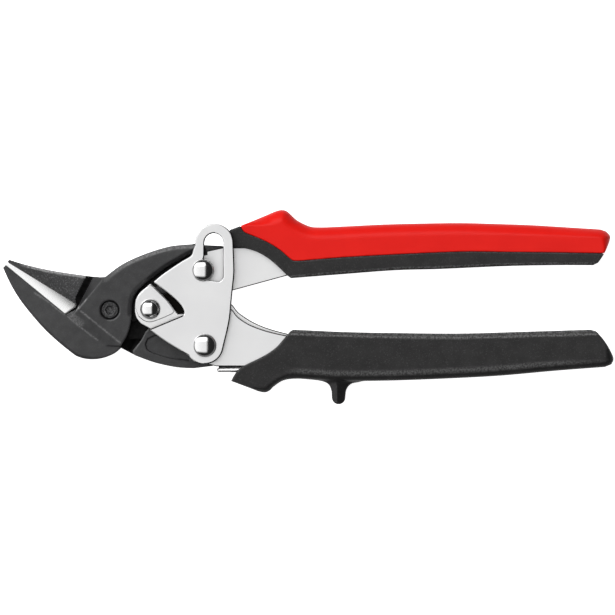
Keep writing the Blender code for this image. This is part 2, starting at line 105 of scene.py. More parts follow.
# ---------------- outlines


def polar(centre, radius, degrees):
    angle = math.radians(degrees)
    return (centre[0] + radius * math.cos(angle), centre[1] + radius * math.sin(angle))


def arc(centre, radius, start, end, steps=16):
    return [polar(centre, radius, start + (end - start) * i / steps) for i in range(steps + 1)]


def smooth(points, steps=7):
    """A smooth curve through the points (Catmull-Rom), ends included."""
    padded = [points[0]] + list(points) + [points[-1]]
    result = []
    for i in range(1, len(padded) - 2):
        a, b, c, d = padded[i - 1:i + 3]
        for j in range(steps):
            t = j / steps
            result.append(tuple(
                0.5 * (2 * b[k] + (c[k] - a[k]) * t
                       + (2 * a[k] - 5 * b[k] + 4 * c[k] - d[k]) * t * t
                       + (3 * b[k] - a[k] - 3 * c[k] + d[k]) * t ** 3)
                for k in range(2)))
    result.append(points[-1])
    return result


def put(name, data):
    """A new object in the scene."""
    item = bpy.data.objects.new(name, data)
    bpy.context.scene.collection.objects.link(item)
    return item


# ---------------- solid fields: signed distances in millimetres


def inside_polygon(x, y, outline):
    """Signed distance to a closed outline, negative inside."""
    x, y = np.broadcast_arrays(np.asarray(x, float), np.asarray(y, float))
    nearest = np.full(x.shape, 1e9)
    odd = np.zeros(x.shape, bool)
    for (x0, y0), (x1, y1) in zip(outline, list(outline[1:]) + [outline[0]]):
        ex, ey = x1 - x0, y1 - y0
        length = ex * ex + ey * ey
        if length < 1e-12:
            continue
        wx, wy = x - x0, y - y0
        t = np.clip((wx * ex + wy * ey) / length, 0.0, 1.0)
        nearest = np.minimum(nearest, (wx - ex * t) ** 2 + (wy - ey * t) ** 2)
        side = ex * wy - ey * wx
        odd ^= ((y0 <= y) & (y1 > y) & (side > 0)) | ((y0 > y) & (y1 <= y) & (side < 0))
    return np.where(odd, -1.0, 1.0) * np.sqrt(nearest)


def to_line(x, y, points):
    """Distance to an open line of points."""
    nearest = np.full(np.broadcast(x, y).shape, 1e9)
    for (x0, y0), (x1, y1) in zip(points, points[1:]):
        ex, ey = x1 - x0, y1 - y0
        t = np.clip(((x - x0) * ex + (y - y0) * ey) / (ex * ex + ey * ey), 0.0, 1.0)
        nearest = np.minimum(nearest, (x - x0 - ex * t) ** 2 + (y - y0 - ey * t) ** 2)
    return np.sqrt(nearest)


def step(value, low, high):
    """0 at low, 1 at high, smooth between; low may be the larger."""
    t = np.clip((value - low) / (high - low), 0.0, 1.0)
    return t * t * (3.0 - 2.0 * t)


def slab(edge, z, low, high, radius):
    """An outline's distance raised between two heights, its rims rounded by a radius."""
    rise = np.abs(z - (low + high) / 2) - (high - low) / 2
    a, b = edge + radius, rise + radius
    return np.hypot(np.maximum(a, 0), np.maximum(b, 0)) + np.minimum(np.maximum(a, b), 0) - radius


def join(a, b, k):
    """Union with a fillet of about k."""
    h = np.clip(0.5 + 0.5 * (b - a) / k, 0.0, 1.0)
    return b + (a - b) * h - k * h * (1.0 - h)


def common(a, b, k):
    """Intersection with an edge eased by about k."""
    return -join(-a, -b, k)


def minus(a, b, k):
    return common(a, -b, k)


def radial(x, y, centre):
    return np.hypot(x - centre[0], y - centre[1])


def drilled(whole, x, y, centre, radius, k=0.2):
    """A round hole right through, its rims eased by about k."""
    return minus(whole, radial(x, y, centre) - radius, k)


def gradient(field, points, h=0.02):
    x, y, z = points.T
    return np.stack([field(x + h, y, z) - field(x - h, y, z),
                     field(x, y + h, z) - field(x, y - h, z),
                     field(x, y, z + h) - field(x, y, z - h)], 1) / (2 * h)


def bending(field, points, h=0.5):
    """How sharply the surface bends: above 0 on outer edges."""
    x, y, z = points.T
    total = -6.0 * field(x, y, z)
    for shift in ((h, 0, 0), (0, h, 0), (0, 0, h)):
        dx, dy, dz = shift
        total = total + field(x + dx, y + dy, z + dz) + field(x - dx, y - dy, z - dz)
    return total / (h * h)


CORNERS = [(i, j, k) for i in (0, 1) for j in (0, 1) for k in (0, 1)]
EDGES = [(a, b) for a in CORNERS for b in CORNERS
         if a < b and sum(abs(p - q) for p, q in zip(a, b)) == 1]


def cell_points(values, cells, low, size):
    """One point in each crossed cell: the mean of the crossings on its edges."""
    total = np.zeros((len(cells[0]), 3))
    count = np.zeros(len(cells[0]))
    for a, b in EDGES:
        va = values[cells[0] + a[0], cells[1] + a[1], cells[2] + a[2]]
        vb = values[cells[0] + b[0], cells[1] + b[1], cells[2] + b[2]]
        crossed = (va < 0) != (vb < 0)
        t = np.where(crossed, va / np.where(crossed, va - vb, 1.0), 0.0)
        point = np.array(a)[None, :] + t[:, None] * (np.array(b) - np.array(a))[None, :]
        total += np.where(crossed[:, None], point, 0.0)
        count += crossed
    return np.array(low) + size * (np.stack(cells, 1) + total / count[:, None])


def cell_faces(values, number):
    """Quads across the grid edges that the surface crosses."""
    inside = values < 0
    quads = []
    for axis in range(3):
        u, v = (axis + 1) % 3, (axis + 2) % 3
        near = [slice(1, -1)] * 3
        near[axis] = slice(0, -1)
        far = list(near)
        far[axis] = slice(1, None)
        a, b = inside[tuple(near)], inside[tuple(far)]
        at = np.argwhere(a != b)
        flip = ~a[tuple(at.T)]
        at = at + np.array([0 if i == axis else 1 for i in range(3)])
        ring = []
        for du, dv in ((1, 1), (0, 1), (0, 0), (1, 0)):
            cell = at.copy()
            cell[:, u] -= du
            cell[:, v] -= dv
            ring.append(number[tuple(cell.T)])
        quad = np.stack(ring, 1)
        quad[flip] = quad[flip][:, ::-1]
        quads.append(quad)
    return np.concatenate(quads)


def grown(name, field, low, high, size, wear_and_highlight=None):
    """Mesh of a field's zero surface, pulled onto it twice; its bending and its marks of wear and painted
    highlight are attributes.
    """
    axes = [np.arange(a - 2 * size, b + 2 * size, size) for a, b in zip(low, high)]
    start = [axis[0] for axis in axes]
    values = field(axes[0][:, None, None], axes[1][None, :, None], axes[2][None, None, :])
    inside = values < 0
    mixed = np.zeros(tuple(n - 1 for n in inside.shape), int)
    for i, j, k in CORNERS:
        mixed += inside[i:i + mixed.shape[0], j:j + mixed.shape[1], k:k + mixed.shape[2]]
    cells = np.nonzero((mixed > 0) & (mixed < 8))
    number = np.full(mixed.shape, -1)
    number[cells] = np.arange(len(cells[0]))
    points = cell_points(values, cells, start, size)
    for _ in range(2):
        slope = gradient(field, points)
        pull = field(*points.T)[:, None] * slope / np.maximum((slope ** 2).sum(1), 0.2)[:, None]
        points = points - np.clip(pull, -0.6 * size, 0.6 * size)
    data = bpy.data.meshes.new(name)
    data.from_pydata((points * MM).tolist(), [], cell_faces(values, number).tolist())
    data.validate()
    wear = data.attributes.new("bending", "FLOAT", "POINT")
    wear.data.foreach_set("value", bending(field, points).astype(np.float32))
    if wear_and_highlight is not None:
        marks = data.attributes.new("wear_and_highlight", "FLOAT", "POINT")
        marks.data.foreach_set("value", wear_and_highlight(*points.T).astype(np.float32))
    data.shade_smooth()
    return put(name, data)


# ---------------- mesh pieces


def linked(name, builder):
    data = bpy.data.meshes.new(name)
    bmesh.ops.recalc_face_normals(builder, faces=builder.faces)
    builder.to_mesh(data)
    builder.free()
    return put(name, data)


def prism(name, outline, low, high):
    builder = bmesh.new()
    face = builder.faces.new([builder.verts.new(metres(point, low)) for point in outline])
    raised = bmesh.ops.extrude_face_region(builder, geom=[face])
    moved = [item for item in raised["geom"] if isinstance(item, bmesh.types.BMVert)]
    bmesh.ops.translate(builder, verts=moved, vec=(0.0, 0.0, (high - low) * MM))
    return linked(name, builder)


def turned(name, centre, profile, sides=96, ring=False):
    """A turned piece from (radius, height) points; a ring's profile closes on itself."""
    builder = bmesh.new()
    rings = []
    for radius, height in profile:
        points = [polar(centre, radius, 360.0 * i / sides) for i in range(sides)]
        rings.append([builder.verts.new(metres(point, height)) for point in points])
    pairs = list(zip(rings, rings[1:]))
    if ring:
        pairs.append((rings[-1], rings[0]))
    else:
        builder.faces.new(rings[0])
        builder.faces.new(rings[-1])
    for lower, upper in pairs:
        for i in range(sides):
            j = (i + 1) % sides
            builder.faces.new((lower[i], lower[j], upper[j], upper[i]))
    return linked(name, builder)


def cut(item, tool):
    modifier = item.modifiers.new("cut", "BOOLEAN")
    modifier.operation = "DIFFERENCE"
    modifier.solver = "EXACT"
    modifier.object = tool
    apply_modifiers(item)
    bpy.data.objects.remove(tool, do_unlink=True)


def apply_modifiers(item):
    graph = bpy.context.evaluated_depsgraph_get()
    made = bpy.data.meshes.new_from_object(item.evaluated_get(graph))
    item.modifiers.clear()
    item.data = made


def weighted(item):
    """Keep the flat faces flat in shading."""
    item.data.shade_smooth()
    modifier = item.modifiers.new("weights", "WEIGHTED_NORMAL")
    modifier.keep_sharp = True
    apply_modifiers(item)


def crisp(item, degrees):
    """Smooth shading that breaks at edges sharper than an angle."""
    item.data.shade_smooth()
    item.data.set_sharp_from_angle(angle=math.radians(degrees))


def eased(item, width, segments=3, angle=40.0, rim=None):
    """Round the sharp edges; rim is the material number of the rounded faces."""
    modifier = item.modifiers.new("ease", "BEVEL")
    if rim is not None:
        for finish in (PLATE, EDGE_SHADE):
            item.data.materials.append(finish)
        modifier.material = rim
    modifier.width = width * MM
    modifier.segments = segments
    modifier.limit_method = "ANGLE"
    modifier.angle_limit = math.radians(angle)
    modifier.use_clamp_overlap = rim is None
    apply_modifiers(item)
    weighted(item)


def joined(name, items, finishes=()):
    """Several solids that move as one piece, in one object; finishes gives each one's material number."""
    builder = bmesh.new()
    for item, number in zip(items, finishes or [0] * len(items)):
        for face in item.data.polygons:
            if face.material_index == 0:
                face.material_index = number
        builder.from_mesh(item.data)
    data = bpy.data.meshes.new(name)
    builder.to_mesh(data)
    builder.free()
    for item in items:
        bpy.data.objects.remove(item, do_unlink=True)
    made = put(name, data)
    weighted(made)
    return made


def dress(item, body, nodes, slot, *finishes):
    """Give a piece its finish and its body, and hide the CAD nodes that it stands for."""
    numbers = [face.material_index for face in item.data.polygons]
    item.data.materials.clear()
    for finish in finishes:
        item.data.materials.append(finish)
    item.data.polygons.foreach_set("material_index", numbers)
    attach(item, body)
    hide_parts(*nodes)
    return item


# ---------------- finishes


RANGE_INPUTS = ("From Min", "From Max", "To Min", "To Max")


def rgb(colour):
    """A colour; a single number is a grey."""
    return colour if isinstance(colour, tuple) else (colour,) * 3


class Tree:
    """Steps that a finish and the world share."""

    def __init__(self, owner):
        owner.use_nodes = True
        self.nodes = owner.node_tree.nodes
        self.links = owner.node_tree.links

    def spread(self, value, low, high, to_low=0.0, to_high=1.0, shape="LINEAR"):
        """A value's range mapped onto another, held at both ends."""
        node = self.nodes.new("ShaderNodeMapRange")
        node.interpolation_type = shape
        for key, number in zip(RANGE_INPUTS, (low, high, to_low, to_high)):
            node.inputs[key].default_value = number
        self.links.new(value, node.inputs["Value"])
        return node.outputs["Result"]

    def calc(self, operation, first, second):
        node = self.nodes.new("ShaderNodeMath")
        node.operation = operation
        self.links.new(first, node.inputs[0])
        self.links.new(second, node.inputs[1])
        return node.outputs["Value"]


class Finish(Tree):
    """A node material built up in steps."""

    def __init__(self, name, colour, roughness, metallic=0.0, specular=0.5):
        self.material = bpy.data.materials.new(name)
        super().__init__(self.material)
        self.shader = self.nodes["Principled BSDF"]
        self.shader.inputs["Base Color"].default_value = (*rgb(colour), 1.0)
        self.shader.inputs["Roughness"].default_value = roughness
        self.shader.inputs["Metallic"].default_value = metallic
        self.shader.inputs["Specular IOR Level"].default_value = specular
        self.place = self.nodes.new("ShaderNodeTexCoord").outputs["Object"]
        self.height = None

    def noise(self, size_mm, detail=3.0, stretch=(1.0, 1.0, 1.0)):
        """Noise with grains of a size; stretch lengthens them along an axis."""
        mapping = self.nodes.new("ShaderNodeMapping")
        mapping.inputs["Scale"].default_value = tuple(1.0 / s for s in stretch)
        texture = self.nodes.new("ShaderNodeTexNoise")
        texture.inputs["Scale"].default_value = 1.0 / (size_mm * MM)
        texture.inputs["Detail"].default_value = detail
        self.links.new(self.place, mapping.inputs["Vector"])
        self.links.new(mapping.outputs["Vector"], texture.inputs["Vector"])
        return texture.outputs["Fac"]

    def cells(self, size_mm):
        texture = self.nodes.new("ShaderNodeTexVoronoi")
        texture.inputs["Scale"].default_value = 1.0 / (size_mm * MM)
        self.links.new(self.place, texture.inputs["Vector"])
        return texture.outputs["Distance"]

    def from_point(self, point):
        """Distance in plan from an upright line through a point."""
        flat = self.nodes.new("ShaderNodeVectorMath")
        flat.operation = "MULTIPLY"
        flat.inputs[1].default_value = (1.0, 1.0, 0.0)
        self.links.new(self.place, flat.inputs[0])
        away = self.nodes.new("ShaderNodeVectorMath")
        away.operation = "DISTANCE"
        away.inputs[1].default_value = point
        self.links.new(flat.outputs["Vector"], away.inputs[0])
        return away.outputs["Value"]

    def attribute(self, name):
        node = self.nodes.new("ShaderNodeAttribute")
        node.attribute_name = name
        return node.outputs["Fac"]

    def blended(self, factor, first, second):
        """Colour between two, by a factor; first may be another colour output."""
        node = self.nodes.new("ShaderNodeMix")
        node.data_type = "RGBA"
        self.links.new(factor, node.inputs["Factor"])
        for socket, colour in ((node.inputs[6], first), (node.inputs[7], second)):
            if isinstance(colour, (float, tuple)):
                socket.default_value = (*rgb(colour), 1.0)
            else:
                self.links.new(colour, socket)
        return node.outputs[2]

    def tone(self, grain, low, high, first, second):
        """Mottling between two colours."""
        return self.blended(self.spread(self.noise(*grain), low, high), first, second)

    def colour(self, output):
        self.links.new(output, self.shader.inputs["Base Color"])

    def roughness(self, grain, to_low, to_high, low=0.3, high=0.7):
        """Roughness between two values, by noise."""
        self.links.new(self.spread(self.noise(*grain), low, high, to_low, to_high),
                       self.shader.inputs["Roughness"])

    def bump(self, output, height_mm, strength=1.0):
        """Relief from an output; a tuple stands for noise with those settings."""
        node = self.nodes.new("ShaderNodeBump")
        node.inputs["Strength"].default_value = strength
        node.inputs["Distance"].default_value = height_mm * MM
        self.links.new(self.noise(*output) if isinstance(output, tuple) else output,
                       node.inputs["Height"])
        if self.height:
            self.links.new(self.height, node.inputs["Normal"])
        self.height = node.outputs["Normal"]
        self.links.new(self.height, self.shader.inputs["Normal"])


def plain_finish(name, look, tone, rough, *bumps):
    """A finish of even mottling, gloss and relief; look is colour, roughness, metallic and specular."""
    made = Finish(name, *look)
    if tone:
        made.colour(made.tone(*tone))
    made.roughness(*rough)
    for bump in bumps:
        made.bump(*bump)
    return made


def forging_finish(name, bump_mm, speck_share):
    """Black phosphate on a drop forging: fine pitting, soft mottling, worn edges, and paler marks that are
    partly wear and partly painted highlight.
    """
    made = Finish(name, (0.024, 0.024, 0.025), 0.5)
    tone = made.tone((3.2, 5.0), 0.35, 0.7, (0.019, 0.019, 0.020), (0.030, 0.030, 0.031))
    speck = made.spread(made.noise(0.50, 2.0), 0.54, 0.70, 0.0, speck_share)
    tone = made.blended(speck, tone, (0.100, 0.100, 0.103))
    edges = made.spread(made.attribute("bending"), 0.6, 2.2, 0.0, 0.12)
    tone = made.blended(edges, tone, (0.12, 0.12, 0.122))
    # Paler marks along edges and steps: partly rubbed wear, partly painted highlight.
    rubbed_and_highlit = made.calc("MULTIPLY", made.attribute("wear_and_highlight"),
                       made.spread(made.noise(0.7), 0.32, 0.62, 0.15, 1.0))
    made.colour(made.blended(rubbed_and_highlit, tone, (0.26, 0.26, 0.262)))
    made.roughness((0.8,), 0.36, 0.50)
    made.bump((0.55,), bump_mm, 0.7)
    made.bump((1.9, 2.0), bump_mm * 1.6, 0.3)
    return made.material


def plate_finish(name, pivot_shade=False, low=0.30):
    """Bright nickel on rolled sheet, with faint lines; pivot_shade paints black shade on the plate near the
    pivot, which is also rougher there.
    """
    made = Finish(name, 0.80, 0.25, 1.0)
    tone = made.tone((18.0, 2.0), 0.3, 0.7, (0.775, 0.775, 0.78), 0.825)
    grain = made.spread(made.noise(1.1, 4.0, (9.0, 1.0, 1.0)), 0.3, 0.7, low, low + 0.03)
    if pivot_shade:
        # Painted shade: black on the plate within about 16 mm of the centre rivet, with a ragged border.
        ragged = made.spread(made.noise(2.5), 0.0, 1.0, -0.002, 0.002)
        unshaded = made.spread(made.calc("ADD", made.from_point(metres(CENTRE)), ragged), 0.0155, 0.0175)
        tone = made.blended(unshaded, (0.010, 0.009, 0.008), tone)
        grain = made.calc("ADD", grain, made.spread(unshaded, 0.0, 1.0, 0.25, 0.0))
    made.colour(tone)
    made.links.new(grain, made.shader.inputs["Roughness"])
    made.bump((0.3, 2.0, (14.0, 1.0, 1.0)), 0.001, 0.06)
    return made.material


def black_grip_finish():
    """Hard black plastic with a fine eroded grain, lighter in random specks, with painted highlights on its
    creases and marked bands.
    """
    made = Finish("black_grip", (0.012, 0.0115, 0.0115), 0.5, 0.0, 0.32)
    tone = made.tone((6.0,), 0.35, 0.7, (0.010, 0.0095, 0.0098), (0.016, 0.0155, 0.0158))
    glint = made.spread(made.noise(0.45, 1.0), 0.60, 0.72, 0.0, 0.32)
    tone = made.blended(glint, tone, 0.07)
    # Painted highlight: paler on the creases and on the marked bands.
    crease = made.spread(made.attribute("bending"), 0.6, 1.8, 0.0, 0.25)
    rubbed_and_highlit = made.calc("MULTIPLY", made.calc("ADD", crease, made.attribute("wear_and_highlight")),
                       made.spread(made.noise(0.7, 2.0), 0.38, 0.62, 0.15, 1.0))
    made.colour(made.blended(rubbed_and_highlit, tone, 0.22))
    made.roughness((0.5, 2.0), 0.42, 0.56)
    made.bump((0.40, 2.0), 0.06, 0.5)
    return made.material


FORGING = forging_finish("black_forging", 0.03, 0.16)
RAW_FORGING = forging_finish("black_forging_raw", 0.22, 0.9)
PLATE = plate_finish("bright_plate")
# These two plates carry painted black shade near the centre rivet.
FRONT_PLATE = plate_finish("bright_plate_shaded", pivot_shade=True)
INNER_PLATE = plate_finish("bright_plate_inner", pivot_shade=True, low=0.16)
BLACK = black_grip_finish()

# Painted shade: black put in the hollows of the forgings and beside the hub, where shade falls
PAINTED_SHADE = plain_finish("painted_shade_black", (0.004, 0.6, 0.0, 0.12), ((1.5, 4.0), 0.35, 0.7, 0.003, 0.008),
                      ((0.8,), 0.5, 0.7), ((0.8, 2.0), 0.04, 0.4)).material
# Bright ground steel with fine grinding marks across the edge
GROUND = plain_finish("ground_steel", (0.97, 0.2, 1.0), None,
                      ((0.6, 2.0, (0.3, 5.0, 1.0)), 0.17, 0.23),
                      ((0.3, 2.0, (0.3, 8.0, 1.0)), 0.001, 0.05)).material
# Painted shade on the plates' cut rims: dark, with the grain of a slightly torn cut edge of stamped sheet
EDGE_SHADE = plain_finish("painted_edge_shade", (0.006, 0.42, 0.0, 0.1), ((0.8,), 0.35, 0.7, 0.003, 0.012),
                       ((0.5, 2.0), 0.36, 0.5), ((0.25, 2.0, (1.0, 1.0, 6.0)), 0.02, 0.4)).material
# Polished rivet steel with hair-fine turning and handling marks
POLISHED = plain_finish("polished_steel", (0.78, 0.1, 1.0), None,
                        ((0.5, 4.0), 0.09, 0.17, 0.35, 0.75), ((1.1, 2.0), 0.003, 0.2)).material
# Blackened steel of the bolt, nut and washers
DARK = plain_finish("dark_steel", ((0.03, 0.03, 0.031), 0.3, 0.4),
                    ((0.6, 4.0), 0.38, 0.66, (0.016, 0.016, 0.017), (0.11, 0.11, 0.112)),
                    ((0.4,), 0.26, 0.44), ((0.25, 2.0), 0.02, 0.4)).material
# Porous bronze of the bushes
bronze = plain_finish("bronze", ((0.60, 0.42, 0.22), 0.35, 1.0),
                      ((0.5, 4.0), 0.3, 0.7, (0.48, 0.32, 0.16), (0.66, 0.47, 0.26)),
                      ((0.3, 2.0), 0.28, 0.48))
bronze.bump(bronze.cells(0.25), 0.01, 0.5)
BRONZE = bronze.material
# Drawn wire
SPRING = plain_finish("spring_steel", ((0.42, 0.42, 0.43), 0.3, 1.0), None,
                      ((0.3, 3.0, (1.0, 1.0, 4.0)), 0.22, 0.40), ((0.12, 2.0), 0.01, 0.4)).material
# Soft red elastomer, satin, with a barely visible grain
RED = plain_finish("red_grip", ((0.70, 0.007, 0.004), 0.38, 0.0, 0.18),
                   ((9.0, 2.0), 0.3, 0.7, (0.68, 0.006, 0.003), (0.72, 0.008, 0.004)),
                   ((0.6, 2.0), 0.34, 0.42), ((0.30, 2.0), 0.02, 0.3)).material

# ---------------- jaws

CUT_TIP, CUT_HEEL = (-40.9, 17.7), (-17.1, -1.8)
SLOPE_TOP, SLOPE_END = (-12.5, 0.5), (4.4, -13.2)
SLOPE_RUN, SLOPE_DROP = 4.6, 2.0
BLADE_TOP = FRONT_HIGH - SLOPE_DROP
HUB_CREST = FRONT_HIGH
EYE_HOLE = 4.9
SINK_RADIUS, SINK_FLOOR = 3.8, 12.6
SHELF_REACH, SHELF_HOLLOW = 3.2, 5.3
TONGUE_RADIUS, TONGUE_STEP, TONGUE_HALF = 17.2, 2.5, 11.5
SPACER_PATH, SPACER_ROOM = [CENTRE, (17.9, 3.1)], 5.4
FLANK_TIP, FLANK_HEEL = (-37.6, 17.2), (-13.2, 2.2)
FLANK_HOLLOW, FLANK_REACH = 0.022, 7.0
PANEL_DEPTH = 0.9
BARE, RAW, SHADE_SLOT = 1, 2, 3
JAW_GRAIN = 0.36
HUB_EDGE = [(-2.3, 12.5), (-12.3, 0.6)]
HUB_FOOT = [(-6.8, 12.9), (-12.3, 1.9)]
GROOVE = HUB_FOOT + [(-13.0, 0.6), (-17.3, -2.3)]
REAR_SPINE = smooth([(-1.8, 13.0), (-7.3, 13.2), (-22.3, 15.4), (-33.0, 17.8), (-39.6, 19.8)], 6)


def beyond(x, y, start, end):
    """Signed distance to a straight line, above 0 on its right-hand side."""
    ex, ey = end[0] - start[0], end[1] - start[1]
    length = math.hypot(ex, ey)
    return ((x - start[0]) * ey - (y - start[1]) * ex) / length


# Inner edge of the upper arm's thick part, beside the plates, and its upper edge, back to the hub
PLATE_SIDE = smooth([(8.7, -1.5), (8.9, 2.6), (10.4, 6.6), (12.7, 9.2), (15.4, 11.5), (21.6, 16.2),
                     (27.2, 19.5), (31.0, 21.7), (34.2, 23.0)], 4)
ARM_TOP = smooth([(35.0, 25.6), (29.0, 25.6), (22.0, 24.6), (13.5, 21.9), (5.0, 18.0), (-2.3, 12.6)], 6)


def front_blade_outline():
    back = smooth([(-42.0, 16.6), (-38.3, 8.9), (-33.4, 1.5), (-24.9, -8.3), (-15.4, -16.5), (-11.6, -18.7),
                   (-7.0, -19.4), (-2.4, -18.8), (1.8, -17.1), (4.4, -15.0)], 6)
    return back + [(4.0, -9.0), (-8.0, 2.0), (-12.5, 0.5), CUT_HEEL, CUT_TIP]


def front_hub_outline():
    lower = smooth([(4.5, -13.8), (6.7, -10.2), (8.2, -5.5)], 5)
    return (HUB_FOOT + [(-12.8, 0.4), (-17.5, -2.3), (-3.0, -14.6), (-1.4, -14.1), (3.6, -14.1)]
            + lower + PLATE_SIDE + ARM_TOP)


def upper_arm_outline():
    around_hub = arc(BLADE, 17.6, 72.0, 18.6, 16)
    eye = arc(UPPER, 8.0, -105.0, 40.0, 20)
    over = [(44.9, 24.4), (44.3, 25.2), (32.7, 25.7), (24.0, 24.9)]
    return around_hub + [(22.0, 6.2), (28.5, 7.0)] + eye + over


def hub_wall(x, y):
    """Height of the hub's sloping left wall, from its upper edge down to the shear plane."""
    from_edge = beyond(x, y, *HUB_EDGE)
    to_foot = -beyond(x, y, *HUB_FOOT)
    share = np.clip(from_edge / np.maximum(from_edge + np.maximum(to_foot, 0.02), 0.05), 0.0, 1.0)
    return HUB_CREST - (HUB_CREST - SHEAR) * share


def front_jaw_field(x, y, z):
    tip = step(x, -42.0, -12.0)
    blade_edge = inside_polygon(x, y, FRONT_BLADE)
    from_cut = -beyond(x, y, CUT_TIP, CUT_HEEL)
    rim = 0.45 + 1.1 * step(np.abs(from_cut), 2.0, 9.0)
    top = BLADE_TOP - 1.5 + 1.5 * tip
    blade = slab(blade_edge, z, SHEAR - 4.0, top, rim)
    hub_edge = inside_polygon(x, y, FRONT_HUB)
    hub = slab(hub_edge, z, SHEAR - 4.0, HUB_CREST, 0.4)
    by_plates = to_line(x, y, PLATE_SIDE)
    hub = common(hub, (z - HUB_CREST + 0.75 * np.maximum(1.7 - by_plates, 0.0)) * 0.8, 0.25)
    by_top = to_line(x, y, ARM_TOP)
    hub = common(hub, (z - HUB_CREST + 0.33 * np.maximum(2.0 - by_top, 0.0)) * 0.95, 0.12)
    run = beyond(x, y, SLOPE_TOP, SLOPE_END)
    hub = common(hub, (z - HUB_CREST + SLOPE_DROP / SLOPE_RUN * run) * 0.917, 0.12)
    hub = common(hub, (z - hub_wall(x, y)) * 0.55, 0.15)
    upper = join(hub, blade, 0.3)
    shelf = slab(by_plates - SHELF_REACH, z, SHEAR, ARM_HIGH - 0.3, 0.2)
    upper = join(upper, drilled(shelf, x, y, CENTRE, SHELF_HOLLOW), 0.2)
    upper = common(upper, SHEAR + HALF_GAP - z, 0.05)
    arm = slab(inside_polygon(x, y, UPPER_ARM), z, ARM_LOW, ARM_HIGH, 0.8)
    whole = join(upper, arm, 0.6)
    whole = drilled(drilled(whole, x, y, UPPER, EYE_HOLE, 0.3), x, y, BLADE, BOLT_BORE)
    return minus(whole, slab(radial(x, y, BLADE) - SINK_RADIUS, z, SINK_FLOOR, 20.0, 0.2), 0.35)


def line_mark(x, y, points, width):
    return step(to_line(x, y, points), width, width * 0.25)


def front_wear_and_highlights(x, y, z):
    """Paler lines along the hub's steps, the arm's upper edge, the cutting edge and the bolt's recess:
    partly rubbed wear, partly painted highlight.
    """
    marks = [0.55 * line_mark(x, y, [(-12.2, 0.6), (-9.2, 4.2)], 0.45),
             0.50 * line_mark(x, y, [(-11.4, -0.4), (4.1, -12.9)], 0.40),
             0.45 * line_mark(x, y, [(-16.4, -2.6), (-9.4, -8.4), (-4.8, -11.8)], 0.40),
             0.28 * line_mark(x, y, [(-14.6, -2.6), (-11.6, -5.2)], 2.2),
             0.40 * line_mark(x, y, [(-29.5, 6.6), (-24.9, 3.8), (-17.9, -1.7)], 0.55),
             0.45 * step(to_line(x, y, ARM_TOP), 1.8, 1.2) * step(x, -2.0, 6.0),
             0.25 * line_mark(x, y, arc(BLADE, 4.1, -100.0, -20.0, 12), 0.4)]
    return np.maximum.reduce(marks) * step(z, SHEAR, SHEAR + 1.0)


def rear_blade_outline():
    edge = smooth([(-41.3, 17.2), (-29.0, 6.6), (-17.4, -3.4)], 4)
    return REAR_SPINE + edge + [(-6.0, -6.0), (4.0, 4.0)]


def rear_hub_outline():
    front = arc(BLADE, 9.3, 62.0, -20.0, 14)
    under = smooth([(24.0, -22.0), (17.8, -20.7), (10.1, -17.8), (5.0, -15.2), (-3.0, -11.5),
                    (-13.5, -6.5)], 6)
    return ([(-11.0, 8.0), (-1.8, 13.0), (3.4, 11.6)] + front
            + [(10.6, -6.6), (14.2, -9.4), (24.0, -14.9)] + under)


def lower_arm_outline():
    under = smooth([(9.0, -16.0), (9.5, -17.5), (10.6, -18.1), (17.8, -20.7), (26.3, -22.5),
                    (33.0, -22.9)], 6)
    eye = arc(LOWER, 8.6, -70.0, 125.0, 24)
    return (under + eye + [(28.5, -6.9), (22.0, -5.7), (17.2, -5.2)]
            + smooth([(13.9, -8.7), (12.3, -11.8), (9.4, -15.4)], 5))


def panel_outline():
    foot = smooth([(16.4, -16.7), (19.5, -17.8), (24.0, -19.0), (31.2, -19.9)], 4)
    return [(14.9, -11.2), (13.9, -13.4), (14.6, -15.6)] + foot + [(33.0, -14.0), (22.0, -8.0)]


FRONT_BLADE, FRONT_HUB, UPPER_ARM = front_blade_outline(), front_hub_outline(), upper_arm_outline()
REAR_BLADE, REAR_HUB, LOWER_ARM = rear_blade_outline(), rear_hub_outline(), lower_arm_outline()
PANEL = panel_outline()


def groove_reach(y):
    """Width of the groove beside the hub: wider towards the back of the blade."""
    return 0.8 + 1.7 * step(y, 1.5, 5.0)


